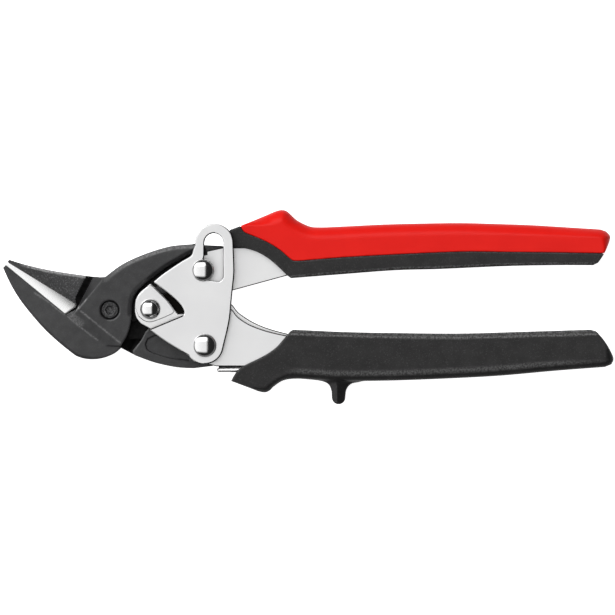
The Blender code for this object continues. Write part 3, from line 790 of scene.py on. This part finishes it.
def rear_jaw_field(x, y, z):
    edge = inside_polygon(x, y, REAR_BLADE)
    by_spine = to_line(x, y, REAR_SPINE)
    blade = slab(edge, z, REAR_LOW + 1.0 + 1.2 * step(x, -12.0, -42.0), SHEAR + 4.0, 0.5)
    from_cut = np.maximum(-beyond(x, y, CUT_TIP, CUT_HEEL), 0.0)
    by_hub = to_line(x, y, GROOVE)
    hollow = FLANK_HOLLOW * np.minimum(from_cut, FLANK_REACH) ** 2
    top = SHEAR - HALF_GAP - hollow * step(x, -3.0, -8.0)
    top = top - 0.6 * np.maximum(groove_reach(y) - by_hub, 0.0) * step(x, -6.0, -7.4)
    top = top - 0.33 * np.maximum(1.3 - by_spine, 0.0)
    gap = np.maximum(inside_polygon(x, y, FRONT_HUB), 0.0) * step(x, 2.0, 5.0) * step(y, 6.0, 2.0)
    top = top - 0.75 * np.minimum(gap, 4.0)
    hub = slab(inside_polygon(x, y, REAR_HUB), z, REAR_LOW, SHEAR + 4.0, 0.8)
    whole = join(blade, hub, 0.8)
    whole = common(whole, (z - top) * 0.85, 0.12)
    tongue_edge = radial(x, y, BLADE) - TONGUE_RADIUS - TONGUE_STEP * step(y, 0.0, -3.0)
    tongue = slab(tongue_edge, z, ARM_LOW + 0.2, SHEAR - HALF_GAP - 0.3, 0.3)
    tongue = common(tongue, np.maximum(6.0 - x, np.abs(y) - TONGUE_HALF), 0.3)
    whole = join(whole, minus(tongue, to_line(x, y, SPACER_PATH) - SPACER_ROOM, 0.3), 0.3)
    arm = slab(inside_polygon(x, y, LOWER_ARM), z, ARM_LOW, ARM_HIGH, 0.5)
    arm = minus(arm, slab(inside_polygon(x, y, PANEL), z, ARM_HIGH - PANEL_DEPTH, 30.0, 0.1), 0.3)
    whole = join(whole, arm, 0.3)
    return drilled(drilled(whole, x, y, LOWER, EYE_HOLE, 0.3), x, y, BLADE, BOLT_BORE)


def rear_highlights(x, y, z):
    """Painted highlight along the blade's back and the arm's ridge."""
    ridge = [(17.2, -5.2), (13.9, -8.7), (12.3, -11.8), (9.4, -16.0)]
    marks = [1.8 * step(to_line(x, y, REAR_SPINE), 1.2, 0.5) * step(x, -37.0, -30.0),
             0.35 * line_mark(x, y, ridge, 0.6) * step(z, ARM_HIGH - 1.0, ARM_HIGH - 0.3)]
    return np.maximum.reduce(marks)


def mark_flank(item):
    """Cut the mesh along the flank's upper border; mark the ground and raw faces and the faces painted with
    black shade.
    """
    builder = bmesh.new()
    builder.from_mesh(item.data)
    ex, ey = FLANK_HEEL[0] - FLANK_TIP[0], FLANK_HEEL[1] - FLANK_TIP[1]
    everything = builder.verts[:] + builder.edges[:] + builder.faces[:]
    bmesh.ops.bisect_plane(builder, geom=everything, dist=1e-7, plane_co=metres(FLANK_TIP),
                           plane_no=(ey, -ex, 0.0))
    for face in builder.faces:
        x, y, z = (v / MM for v in face.calc_center_median())
        facing = face.normal.z > 0.8 and z > SHEAR - 1.6
        off = beyond(x, y, FLANK_TIP, FLANK_HEEL)
        in_groove = to_line(x, y, GROOVE) < groove_reach(y) - 0.1 and z > SHEAR - 3.5
        under_hub = x > 3.0 and z < SHEAR and face.normal.z > 0.0 and radial(x, y, BLADE) < 19.0
        # Painted shade: the groove beside the front hub and the faces under the hub are painted black.
        if in_groove:
            face.material_index = SHADE_SLOT
        elif facing and off > 0.0 and x < -12.5:
            face.material_index = BARE
        elif x < -6.5 and off <= 0.0:
            face.material_index = RAW
        elif under_hub:
            face.material_index = SHADE_SLOT
    builder.to_mesh(item.data)
    builder.free()


def mark_hollow(item):
    """Painted shade: black in the hollow between the upper arm's thick part and the plates."""
    for face in item.data.polygons:
        x, y, z = (v / MM for v in face.center)
        if z < ARM_HIGH + 0.3 and x > 8.0 and to_line(x, y, PLATE_SIDE) < 3.6:
            face.material_index = 1


def make_jaws():
    front = grown("front_jaw_forging", front_jaw_field, (-42.6, -20.0, ARM_LOW),
                  (45.2, 26.2, FRONT_HIGH), JAW_GRAIN, front_wear_and_highlights)
    dress(front, "front_jaw_lever", ["front_jaw"], "black_forging", FORGING, PAINTED_SHADE)
    mark_hollow(front)
    rear = grown("rear_jaw_forging", rear_jaw_field, (-42.0, -23.4, REAR_LOW),
                 (46.4, 20.4, ARM_HIGH), JAW_GRAIN, rear_highlights)
    dress(rear, "rear_jaw_lever", ["rear_jaw"], "black_forging", FORGING, GROUND, RAW_FORGING, PAINTED_SHADE)
    mark_flank(rear)


# ---------------- grips

GRIP_GRAIN = 0.55
GRIP_HALF = (GRIP_HIGH - GRIP_LOW) / 2
STOP_HALF, STOP_TOP, STOP_CREST = 7.2, 6.9, 89.2
PARTING = 0.16
SKIN = 2.3
SEAM_GAP = 0.06

def lower_grip_outline():
    front = smooth([(47.6, -27.9), (49.7, -24.4), (52.3, -22.1), (60.2, -18.2), (65.1, -14.9),
                    (68.3, -11.4), (71.0, -8.2)], 6)
    top = smooth([(72.2, -7.7), (91.9, -8.6), (112.0, -9.0), (137.6, -9.2), (159.8, -8.6),
                  (189.0, -7.7)], 6)
    heel = smooth([(191.2, -8.4), (194.4, -12.2), (197.0, -16.6), (197.9, -19.4), (197.0, -21.4)], 5)
    bottom = smooth([(194.5, -22.4), (174.9, -23.9), (154.8, -25.7), (137.6, -26.7), (112.0, -27.7),
                     (90.0, -27.9), (81.9, -27.4), (73.4, -27.0), (68.2, -27.7), (64.4, -30.1),
                     (62.8, -31.7), (60.8, -32.4), (58.5, -32.0)], 6)
    return front + top + heel + bottom + [(53.0, -29.9)]


def finger_stop_outline():
    right = smooth([(104.0, -26.0), (98.2, -27.9), (95.0, -28.9), (93.0, -31.2), (92.5, -34.6)], 6)
    foot = arc((89.9, -34.4), 2.65, 0.0, -180.0, 14)
    left = smooth([(87.2, -34.4), (87.0, -31.4), (85.6, -28.9), (82.4, -27.3), (76.0, -26.0)], 6)
    return right + foot + left


def lower_grip_field(x, y, z):
    edge = inside_polygon(x, y, LOWER_GRIP)
    top_line = to_line(x, y, LOWER_GRIP_TOP)
    rim = 0.7 + 2.7 * step(top_line, 7.0, 13.0)
    grip = slab(edge, z, GRIP_LOW, GRIP_HIGH, rim)
    band = np.maximum(1.8 - to_line(x, y, LOWER_GRIP_EDGE), 0.0)
    rise = np.abs(z - GRIP_MID) - GRIP_HALF
    grip = common(grip, (rise + 0.4 * band) * 0.93, 0.12)
    stop_edge = inside_polygon(x, y, FINGER_STOP)
    stop = slab(stop_edge, z, GRIP_MID - STOP_HALF, GRIP_MID + STOP_HALF, 1.6)
    fall = 0.75 * np.maximum(x - STOP_CREST, 0.55 * (STOP_CREST - x))
    stop = common(stop, (np.abs(z - GRIP_MID) - STOP_TOP + fall) * 0.8, 0.5)
    whole = join(grip, stop, 1.6)
    seam = np.abs(z - GRIP_MID) - PARTING
    whole = minus(whole, np.maximum(seam, -edge - 0.22), 0.18)
    pocket = inside_polygon(x, y, LOWER_POCKET)
    return minus(whole, slab(pocket, z, LOWER_BACK - 0.3, LOWER_FRONT + 0.3, 0.1), 0.3)


def upper_grip_outline():
    top = smooth([(47.2, 31.5), (51.4, 33.1), (60.2, 36.7), (65.2, 38.8), (67.7, 39.3), (69.6, 38.8),
                  (71.6, 37.0), (73.8, 35.1), (78.4, 32.9), (82.6, 32.5), (90.9, 32.8), (107.0, 33.6),
                  (122.0, 34.0), (137.6, 34.2), (150.0, 33.9), (164.8, 33.4), (179.9, 32.5),
                  (192.6, 31.7)], 6)
    heel = smooth([(194.8, 31.0), (196.5, 29.2), (196.3, 27.0), (194.4, 22.4), (191.9, 18.6)], 5)
    bottom = smooth([(189.9, 17.6), (174.9, 17.6), (154.8, 17.2), (129.8, 16.1), (112.0, 15.6),
                     (91.9, 14.1), (71.2, 12.5)], 6)
    front = smooth([(69.6, 13.6), (66.7, 16.5), (63.4, 19.4), (60.2, 21.6), (56.9, 23.2), (52.6, 24.3),
                    (49.2, 24.5), (46.4, 24.1)], 6)
    return top + heel + bottom + front + [(46.2, 29.0)]


def soft_zone_outline():
    """Region of the soft zone in plan, past the grip's outer line."""
    seam = smooth([(200.0, 22.2), (186.0, 22.4), (174.9, 22.6), (154.8, 22.8), (137.6, 22.9),
                   (112.0, 21.8), (91.9, 20.7), (76.0, 19.4)], 6)
    bend = smooth([(74.4, 19.3), (72.2, 19.4), (70.6, 20.4), (66.7, 23.7), (61.8, 26.7), (56.9, 28.9),
                   (53.6, 30.2), (52.2, 31.4), (50.6, 34.4)], 6)
    return seam + bend + [(56.0, 42.0), (200.0, 42.0)]


def upper_grip_whole(x, y, z):
    edge = inside_polygon(x, y, UPPER_GRIP)
    rim = 0.7 + 4.9 * step(to_line(x, y, UPPER_GRIP_BOTTOM), 6.0, 14.0) * step(x, 50.0, 60.0)
    whole = slab(edge, z, GRIP_LOW, GRIP_HIGH, rim)
    band = np.maximum(1.3 - to_line(x, y, UPPER_GRIP_EDGE), 0.0)
    rise = np.abs(z - GRIP_MID) - GRIP_HALF
    return common(whole, (rise + 0.6 * band) * 0.85, 0.15)


def seam_lip(whole, zone):
    """Strip of the hard body just under the skin, behind the seam."""
    return np.maximum(whole + 0.9, np.abs(zone) - 0.7)


def upper_body_field(x, y, z):
    whole = upper_grip_whole(x, y, z)
    zone = inside_polygon(x, y, SOFT_ZONE)
    shell = np.maximum(zone, whole + SKIN + 0.1)
    below = minus(whole, zone - SEAM_GAP, 0.16)
    core = np.maximum(whole + SKIN + 0.2, zone - 1.0)
    solid = np.minimum(np.minimum(below, np.maximum(core, shell)), seam_lip(whole, zone))
    pocket = inside_polygon(x, y, UPPER_POCKET)
    return minus(solid, slab(pocket, z, UPPER_BACK - 0.3, UPPER_FRONT + 0.3, 0.1), 0.3)


def upper_inlay_field(x, y, z):
    whole = upper_grip_whole(x, y, z)
    zone = inside_polygon(x, y, SOFT_ZONE)
    skin = common(whole, zone + SEAM_GAP, 0.18)
    return np.maximum(np.maximum(skin, -(whole + SKIN)), SEAM_GAP - seam_lip(whole, zone))


LOWER_GRIP, FINGER_STOP = lower_grip_outline(), finger_stop_outline()
LOWER_GRIP_EDGE = [(71.2, -7.6), (112.0, -8.9), (137.6, -9.1), (190.6, -7.7)]
LOWER_GRIP_TOP = [(47.0, -27.0), (52.3, -22.1), (60.2, -18.2), (65.1, -14.9), (68.0, -11.8),
                  (71.4, -7.8), (112.0, -8.9), (137.6, -9.1), (190.0, -7.8)]
LOWER_POCKET = [(38.0, -5.0), (60.0, -5.0), (74.0, -9.0), (78.0, -11.6), (150.4, -13.1),
                (150.4, -24.0), (42.0, -24.9), (38.0, -24.9)]
UPPER_GRIP, SOFT_ZONE = upper_grip_outline(), soft_zone_outline()
UPPER_GRIP_EDGE = [(72.0, 12.4), (91.9, 14.0), (112.0, 15.5), (129.8, 16.0), (154.8, 17.1),
                   (190.0, 17.5)]
UPPER_GRIP_BOTTOM = [(49.2, 25.1), (60.2, 21.6), (66.7, 16.5), (71.4, 12.5), (112.0, 15.6),
                     (154.8, 17.2), (189.9, 17.6)]
UPPER_POCKET = [(40.0, 4.0), (70.0, 13.2), (75.2, 16.1), (150.4, 18.9), (150.4, 27.8), (72.0, 26.8),
                (60.0, 26.8), (52.0, 25.0), (40.0, 25.0)]


def band_mark(away, centre, width):
    return step(np.abs(away - centre), width, width * 0.2)


def lower_grip_highlights(x, y, z):
    """Painted highlights: a paler top band with two lighter lines, and one more where the lower rounding
    begins.
    """
    by_edge = to_line(x, y, LOWER_GRIP_EDGE)
    inside = -inside_polygon(x, y, LOWER_GRIP)
    marks = [0.65 * band_mark(by_edge, 0.3, 0.55) * step(x, 68.0, 72.0),
             0.55 * band_mark(by_edge, 1.9, 0.6) * step(x, 68.0, 72.0),
             0.22 * step(by_edge, 2.2, 1.8),
             0.30 * band_mark(inside, 3.0, 1.6) * step(y, -19.0, -21.0) * step(x, 66.0, 78.0)]
    return np.maximum.reduce(marks)


def upper_grip_highlight(x, y, z):
    # Painted highlight: a lighter line just above the lower edge.
    return 0.5 * band_mark(to_line(x, y, UPPER_GRIP_EDGE), 0.9, 0.55)


def make_grips():
    lower = grown("lower_grip_moulding", lower_grip_field, (47.0, -37.4, GRIP_LOW),
                  (198.4, -7.4, GRIP_HIGH), GRIP_GRAIN, lower_grip_highlights)
    dress(lower, "lower_handle", ["lower_grip"], "black_grip", BLACK)
    body = grown("upper_grip_moulding", upper_body_field, (46.0, 12.0, GRIP_LOW),
                 (197.0, 39.6, GRIP_HIGH), GRIP_GRAIN, upper_grip_highlight)
    dress(body, "upper_handle", ["upper_grip_body"], "black_grip", BLACK)
    inlay = grown("upper_grip_soft_zone", upper_inlay_field, (49.0, 18.0, GRIP_LOW),
                  (197.2, 39.8, GRIP_HIGH), GRIP_GRAIN)
    dress(inlay, "upper_handle", ["upper_grip_inlay"], "red_grip", RED)


# ---------------- plates

FACE, EDGE_SHADE_SLOT, INNER, ROOT_SHADE_SLOT = 0, 1, 2, 3
BOSS_RISE = 0.29
BACK_LIFT = 2.0

def lower_wall_outline(lift):
    """One wall of the lower channel; lift raises the edge between the handles."""
    nose = smooth([(12.2, -5.3), (10.6, -3.2), (9.95, -1.1), (9.85, 0.7), (10.1, 3.6), (11.2, 6.0),
                   (13.0, 7.9), (14.6, 9.2), (15.9, 10.4), (16.5, 10.1), (20.3, 6.3), (22.9, 3.7),
                   (24.7, 1.2), (26.6, -1.4)], 5)
    gullet = smooth([(44.0, 2.4 + lift), (47.9, 0.2 + lift), (50.4, -2.8 + lift),
                     (54.3, -5.4 + 0.9 * lift), (58.5, -7.2 + 0.7 * lift), (63.4, -8.7 + 0.55 * lift),
                     (71.0, -10.4 + 0.4 * lift)], 6)
    eye = arc(LOWER, 7.0, 250.0, 225.0, 4)
    return (nose + [(33.0, -1.0)] + gullet
            + [(76.0, -12.0), (150.0, -13.5), (150.0, -21.6), (60.0, -22.15), (41.9, -22.15)]
            + eye + [(22.0, -11.4), (16.0, -7.4)])


def bored(item, centre, radius, low, high):
    tool = turned("bore", centre, [(radius, low - 1.0), (radius, high + 1.0)], sides=64)
    cut(item, tool)


def wall(outline, low, *holes):
    """One wall of a channel: bored, its rims painted dark as shade."""
    plate = prism("wall", outline, low, low + WALL)
    for centre, radius in holes:
        bored(plate, centre, radius, low, low + WALL)
    eased(plate, RIM, rim=EDGE_SHADE_SLOT)
    return plate


def boss_outline():
    """Raised pad round the centre rivet on the front wall."""
    upper = smooth([(10.15, 0.7), (10.4, 3.5), (11.5, 5.8), (13.2, 7.6), (14.8, 9.0), (15.9, 9.9),
                    (19.9, 6.2), (22.5, 3.6), (24.3, 1.0), (25.4, -0.5)], 5)
    lower = smooth([(24.6, -1.5), (21.5, -2.9), (17.6, -4.4), (15.4, -4.75), (13.2, -4.1), (11.3, -2.5)], 5)
    return upper + lower


def web_strip(name, outline_line, low, high, thickness, rim=0.8):
    """The channel's web: a strip along a line, its long rims rounded like a bend."""
    inner = [(x, y + thickness) for x, y in outline_line]
    item = prism(name, outline_line + inner[::-1], low, high)
    eased(item, rim, 5)
    return item


def make_lower_frame():
    holes = ((CENTRE, CENTRE_BORE), (LOWER, RIVET_BORE))
    front = wall(lower_wall_outline(0.0), LOWER_FRONT - WALL, *holes)
    back = wall(lower_wall_outline(BACK_LIFT), LOWER_BACK, *holes)
    web = web_strip("web", [(42.1, -24.5), (149.5, -23.6)], LOWER_BACK + 0.1, LOWER_FRONT - 0.3,
                    1.8, 0.85)
    # Painted shade: a dark strip low between the walls, seen as a dark line under the front wall's edge.
    shaded_root = web_strip("shaded_root", [(42.8, -23.3), (149.0, -22.9)], LOWER_BACK + 0.4, LOWER_FRONT - 3.2,
                     1.7, 0.2)
    boss = prism("boss", boss_outline(), LOWER_FRONT - 0.6, LOWER_FRONT + BOSS_RISE)
    bored(boss, CENTRE, CENTRE_BORE, LOWER_FRONT - 0.6, LOWER_FRONT + 0.3)
    eased(boss, 0.24, rim=EDGE_SHADE_SLOT)
    whole = joined("lower_handle_channel", [front, boss, web, back, shaded_root], (FACE, FACE, FACE, INNER, ROOT_SHADE_SLOT))
    # Painted shade: on the nose the dark rims stay only on the boss's rims facing -y; the back wall's sides
    # and underside take the plain plate.
    for face in whole.data.polygons:
        x, _, z = (v / MM for v in face.center)
        outer = face.material_index == INNER and face.normal.z < 0.5
        nose = x < 28.0 and (z < LOWER_FRONT or face.normal.y > -0.15)
        if outer or (face.material_index == EDGE_SHADE_SLOT and nose):
            face.material_index = FACE
    dress(whole, "lower_handle", ["lower_handle_frame"], "bright_plate", PLATE, EDGE_SHADE, INNER_PLATE, DARK)


def upper_plate_outline():
    centre_eye = arc(CENTRE, 5.0, 60.0, 290.0, 24)
    upper_eye = arc(UPPER, 5.9, 105.0, 190.0, 10)
    under = [(24.0, -5.5), (34.0, -3.0), (48.4, 7.7), (70.0, 13.6), (75.0, 16.6), (150.0, 19.4)]
    over = [(150.0, 27.2), (72.0, 26.2), (60.0, 26.2), (52.3, 24.6), (44.7, 24.6), (38.0, 23.2),
            (38.0, 21.9)]
    return centre_eye + under + over + upper_eye + [(27.0, 10.4), (22.0, 6.8)]


def make_upper_frame():
    plates = [wall(upper_plate_outline(), low, (CENTRE, CENTRE_BORE), (UPPER, RIVET_BORE))
              for low in (UPPER_FRONT - WALL, UPPER_BACK)]
    web = web_strip("web", [(56.0, 24.0), (72.0, 24.6), (149.6, 25.5)], UPPER_BACK + 0.1,
                    UPPER_FRONT - 0.1, 1.9)
    # Painted shade: the plates' rims are dark all round, and the front plate is painted black near the
    # centre rivet.
    whole = joined("upper_handle_channel", plates + [web], (FACE, INNER, FACE))
    dress(whole, "upper_handle", ["upper_handle_frame"], "bright_plate", FRONT_PLATE, EDGE_SHADE, INNER_PLATE)


def latch_outline():
    loop = arc((41.06, 26.4), 7.55, 188.0, 0.0, 32)
    foot = arc(LOWER, 7.35, -14.0, -150.0, 24)
    left = smooth([(17.1, 11.0), (20.6, 13.9), (24.6, 16.7), (28.4, 19.2), (31.4, 20.9), (32.3, 21.9),
                   (32.8, 23.6)], 5)
    back = smooth([(48.7, 24.0), (48.9, 19.0), (48.9, 13.8), (48.0, 5.2), (47.2, -3.3), (45.9, -9.6)], 6)
    lower = smooth([(28.4, -16.2), (22.0, -12.3), (15.5, -7.6)], 5)
    apex = smooth([(28.2, -2.3), (29.1, -1.6), (29.2, -0.4), (28.5, 1.2), (26.6, 3.5), (22.9, 6.7),
                   (18.8, 9.8)], 4)
    return left + loop + back + foot + lower + apex


def turn(point, centre, degrees):
    cosine, sine = math.cos(math.radians(degrees)), math.sin(math.radians(degrees))
    x, y = point[0] - centre[0], point[1] - centre[1]
    return (centre[0] + x * cosine - y * sine, centre[1] + x * sine + y * cosine)


LATCH_RATIO = 0.8
NOTCH = 1.65
LATCH_RIM = 0.5


def guide_point(opening):
    """Where the upper rivet stands in the latch when the handles are open by an angle."""
    return turn(turn(UPPER, CENTRE, opening), LOWER, -LATCH_RATIO * opening)


def notch_side():
    """Side of the notch along the rivet's path."""
    side = []
    for opening in (0.0, 2.0, 4.0, 6.0, 8.0, 10.0, 11.0):
        here, ahead = guide_point(opening), guide_point(opening + 1.0)
        dx, dy = ahead[0] - here[0], ahead[1] - here[1]
        length = math.hypot(dx, dy)
        side.append((here[0] - dy / length * NOTCH, here[1] + dx / length * NOTCH))
    return side


def slot_outline():
    top = arc((40.9, 26.4), 3.7, 180.0, 0.0, 24)
    foot = arc((42.3, 13.4), 2.3, 0.0, -90.0, 8)
    notch = arc(UPPER, NOTCH, -70.0, -190.0, 14)
    return top + foot + [(38.6, 11.8)] + notch + notch_side() + [(37.2, 21.6)]


def make_latch():
    plate = prism("latch_stamping", latch_outline(), LATCH_LOW, LATCH_HIGH)
    cut(plate, prism("slot", slot_outline(), LATCH_LOW - 1.0, LATCH_HIGH + 1.0))
    bored(plate, LOWER, RIVET_BORE, LATCH_LOW, LATCH_HIGH)
    eased(plate, LATCH_RIM, 4, rim=EDGE_SHADE_SLOT)
    # Painted shade: the dark rim stays only on edges that face away from the light, right and down, and on
    # the notch's lower edge.
    for face in plate.data.polygons:
        x, y, _ = (v / MM for v in face.center)
        away = 0.8 * face.normal.x - 0.6 * face.normal.y > 0.1
        notch = x < 29.0 and y < 0.0 and face.normal.y > 0.0
        if face.material_index == EDGE_SHADE_SLOT and not (away or notch):
            face.material_index = FACE
    dress(plate, "latch", ["latch_plate"], "bright_plate", PLATE, EDGE_SHADE)


# ---------------- rivets, bolt and rings

SHANK, NECK, CENTRE_SHANK = 2.9, 1.3, 2.1
UPPER_HEAD, LOWER_HEAD, CENTRE_HEAD = 4.4, 4.6, 4.05
BOLT_SHANK, BOLT_HEAD = 2.9, 3.3
SOCKET, SOCKET_DEPTH = 2.0, 1.7
NUT = 5.6

def dome(radius, base, top):
    """Domed head with a crisp rim: (radius, height) points."""
    rim = 0.35
    height = top - base - rim
    points = [(radius - 0.15, base), (radius, base + 0.15), (radius, base + rim)]
    return points + [(radius * math.cos(math.radians(a)), base + rim + height * math.sin(math.radians(a)))
                     for a in range(8, 90, 6)] + [(0.02 * radius, top)]


def back_dome(radius, bottom, top):
    return [(radius - 1.0, bottom), (radius - 0.4, bottom + 0.3), (radius, bottom + 0.9), (radius, top)]


def rivet(name, node, body, centre, back, shank, head):
    piece = turned(name, centre, back + shank + head)
    crisp(piece, 38.0)
    dress(piece, body, [node], "polished_steel", POLISHED)


def make_rivets():
    head_base, top = LATCH_HIGH + 0.3, layer("upper_rivet")[1]
    rivet("upper_rivet_turned", "upper_rivet", "upper_handle", UPPER, back_dome(UPPER_HEAD, 2.2, 4.0),
          [(SHANK, 4.0), (SHANK, UPPER_FRONT), (NECK, UPPER_FRONT), (NECK, head_base)],
          dome(UPPER_HEAD, head_base, top))
    rivet("lower_rivet_turned", "lower_rivet", "lower_handle", LOWER, back_dome(LOWER_HEAD, 0.1, 1.7),
          [(SHANK, 1.7), (SHANK, head_base)], dome(LOWER_HEAD, head_base, top))
    head_base, top = LOWER_FRONT + 0.3, layer("centre_rivet")[1]
    rivet("centre_rivet_turned", "centre_rivet", "lower_handle", CENTRE, back_dome(CENTRE_HEAD, 0.1, 1.7),
          [(CENTRE_SHANK, 1.7), (CENTRE_SHANK, head_base)], dome(CENTRE_HEAD, head_base, top))


def ring(node, body, centre, inner, outer, finish, slot):
    """A turned ring with eased rims, as high as its CAD node."""
    low, high = layer(node)
    rim = min(0.25, (high - low) / 4)
    profile = [(inner, low + rim), (inner + rim, low), (outer - rim, low), (outer, low + rim),
               (outer, high - rim), (outer - rim, high), (inner + rim, high), (inner, high - rim)]
    piece = turned(node + "_turned", centre, profile, 72, ring=True)
    crisp(piece, 50.0)
    dress(piece, body, [node], slot, finish)


def make_rings():
    ring("upper_arm_bush", "front_jaw_lever", UPPER, 3.45, 4.6, BRONZE, "bronze")
    ring("lower_arm_bush", "rear_jaw_lever", LOWER, RIVET_BORE, 4.6, BRONZE, "bronze")
    for node, body, centre, inner, outer in (
            ("centre_spacer", "lower_handle", CENTRE, CENTRE_BORE, 2.9),
            ("lower_arm_washer_back", "lower_handle", LOWER, RIVET_BORE, 6.4),
            ("lower_arm_washer_front", "lower_handle", LOWER, RIVET_BORE, 6.4),
            ("latch_spacer", "lower_handle", LOWER, RIVET_BORE, 6.0),
            ("latch_collar", "upper_handle", UPPER, 1.6, 3.9),
            ("pivot_washer", "rear_jaw_lever", BLADE, BOLT_BORE, 6.2)):
        ring(node, body, centre, inner, outer, DARK, "dark_steel")


def make_bolt():
    """Pivot bolt: stepped head sunk in the hub, with a hexagon socket."""
    top = layer("pivot_bolt")[1]
    profile = [(2.5, 0.0), (BOLT_SHANK, 0.4), (BOLT_SHANK, 11.9), (3.2, 11.9), (BOLT_HEAD, 12.0),
               (BOLT_HEAD, top - 0.6), (3.0, top - 0.2), (2.8, top - 0.2), (2.7, top - 0.55),
               (2.45, top - 0.55), (2.3, top), (2.15, top)]
    bolt = turned("pivot_bolt_turned", BLADE, profile, 72)
    cone = [(1.5, top - SOCKET_DEPTH), (SOCKET, top - 1.4), (SOCKET, top + 1.0)]
    cut(bolt, turned("socket", BLADE, cone, sides=6))
    crisp(bolt, 30.0)
    dress(bolt, "rear_jaw_lever", ["pivot_bolt"], "dark_steel", DARK)


def make_nut():
    low, high = layer("pivot_nut")
    nut = prism("pivot_nut_turned", [polar(BLADE, NUT, 60.0 * i) for i in range(6)], low, high)
    bored(nut, BLADE, BOLT_BORE, low, high)
    eased(nut, 0.3)
    dress(nut, "rear_jaw_lever", ["pivot_nut"], "dark_steel", DARK)


# ---------------- opening spring


WIRE = 0.5
COIL_RADIUS, COIL_START, COIL_TURN, COIL_STEPS = 3.75, 261.0, 882.0, 96


def spring_route():
    """Lower leg, coil round the spacer, upper leg."""
    low, high = layer("opening_spring")
    low_z, high_z = low + WIRE, high - WIRE
    route = [(31.5 - 1.5 * i, -5.7 + 0.22 * i, low_z) for i in range(9)]
    for i in range(COIL_STEPS + 1):
        share = i / COIL_STEPS
        place = polar(CENTRE, COIL_RADIUS, COIL_START - COIL_TURN * share)
        route.append((*place, low_z + (high_z - low_z) * share))
    route += [(19.5 + 1.5 * i, 4.55 + 0.22 * i, high_z) for i in range(9)]
    return route


def make_spring():
    curve = bpy.data.curves.new("spring_line", "CURVE")
    curve.dimensions = "3D"
    curve.bevel_depth = WIRE * MM
    curve.bevel_resolution = 4
    curve.use_fill_caps = True
    route = spring_route()
    line = curve.splines.new("POLY")
    line.points.add(len(route) - 1)
    for point, place in zip(line.points, route):
        point.co = (*metres(place, place[2]), 1.0)
    wire = put("spring_line", curve)
    graph = bpy.context.evaluated_depsgraph_get()
    data = bpy.data.meshes.new_from_object(wire.evaluated_get(graph))
    bpy.data.objects.remove(wire, do_unlink=True)
    data.shade_smooth()
    data.materials.clear()
    data.materials.append(SPRING)
    spring = put("opening_spring_wire", data)
    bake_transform(spring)
    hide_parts("opening_spring")


# ---------------- studio


VIEW_WIDTH = 0.2416
VIEW_CENTRE = (0.07767, 0.00098)
BACKDROP = 0.92
FLOOR_HALF, FLOOR_SINK = 2.5, 0.0002
FLOOR_GLOW = 0.9
KEY_POWER = 3.2


def make_camera():
    data = bpy.data.cameras.new("camera")
    data.type = "ORTHO"
    data.ortho_scale = VIEW_WIDTH
    data.clip_end = 10.0
    camera = put("camera", data)
    camera.location = (*VIEW_CENTRE, 1.0)
    bpy.context.scene.camera = camera


def make_key_light():
    """A small softbox high on the left, behind; it isn't seen in the object's gloss."""
    data = bpy.data.lights.new("key", "AREA")
    data.shape = "RECTANGLE"
    data.size, data.size_y = 0.30, 0.30
    data.energy = KEY_POWER
    light = put("key", data)
    light.location = (-0.50, 0.42, 0.80)
    direction = Vector((0.08, 0.0, 0.0)) - light.location
    light.rotation_euler = direction.to_track_quat("-Z", "Y").to_euler()
    light.visible_glossy = False


def make_world():
    """A wide softbox overhead, reaching left and back, in a dim room; lit from below for the underside."""
    world = bpy.data.worlds.new("studio")
    made = Tree(world)
    split = made.nodes.new("ShaderNodeSeparateXYZ")
    made.links.new(made.nodes.new("ShaderNodeTexCoord").outputs["Generated"], split.inputs["Vector"])
    ray = made.nodes.new("ShaderNodeLightPath")

    def ramp(axis, *numbers):
        return made.spread(split.outputs[axis], *numbers, shape="SMOOTHSTEP")

    box = made.calc("MULTIPLY", ramp("X", 0.09, 0.29, 1.0, 0.0), ramp("Z", 0.14, 0.34))
    box = made.calc("MULTIPLY", box, ramp("Y", -0.70, -0.48))
    box = made.calc("MULTIPLY", box, ramp("Y", 0.58, 0.84, 1.0, 0.0))
    power = made.calc("ADD", ramp("Y", 0.30, 0.56, 1.02, 3.8), ramp("X", -0.9, 0.0, 0.25, 0.0))
    room = made.calc("ADD", ramp("Z", 0.20, 0.32, 0.20, 0.02), ramp("Z", -0.7, -0.2, 0.7, 0.0))
    fill = made.calc("MULTIPLY", ray.outputs["Is Diffuse Ray"], ramp("Z", 0.0, 0.9, 0.38, 0.0))
    light = made.calc("ADD", made.calc("MULTIPLY", box, power), made.calc("ADD", room, fill))
    seen = made.nodes.new("ShaderNodeMix")
    made.links.new(ray.outputs["Is Camera Ray"], seen.inputs["Factor"])
    made.links.new(light, seen.inputs["A"])
    seen.inputs["B"].default_value = BACKDROP
    background = made.nodes["Background"].inputs
    made.links.new(seen.outputs["Result"], background["Strength"])
    background["Color"].default_value = (1.0, 1.0, 1.0, 1.0)
    bpy.context.scene.world = world


def make_floor():
    """Pale floor that glows evenly, as a light table does; it isn't seen in the object's gloss."""
    builder = bmesh.new()
    bmesh.ops.create_grid(builder, x_segments=1, y_segments=1, size=FLOOR_HALF)
    floor = linked("floor", builder)
    floor.location = (0.0, 0.0, -FLOOR_SINK)
    made = Finish("pale_floor", 0.9, 0.8)
    made.shader.inputs["Emission Color"].default_value = (1.0, 1.0, 1.0, 1.0)
    made.shader.inputs["Emission Strength"].default_value = FLOOR_GLOW
    floor.data.materials.append(made.material)
    floor.visible_glossy = False
    floor.visible_diffuse = False


def make_studio():
    make_camera()
    make_world()
    make_floor()
    make_key_light()
    bpy.context.scene.view_settings.view_transform = "Standard"


make_jaws()
make_grips()
make_lower_frame()
make_upper_frame()
make_latch()
make_rivets()
make_rings()
make_bolt()
make_nut()
make_spring()
make_studio()
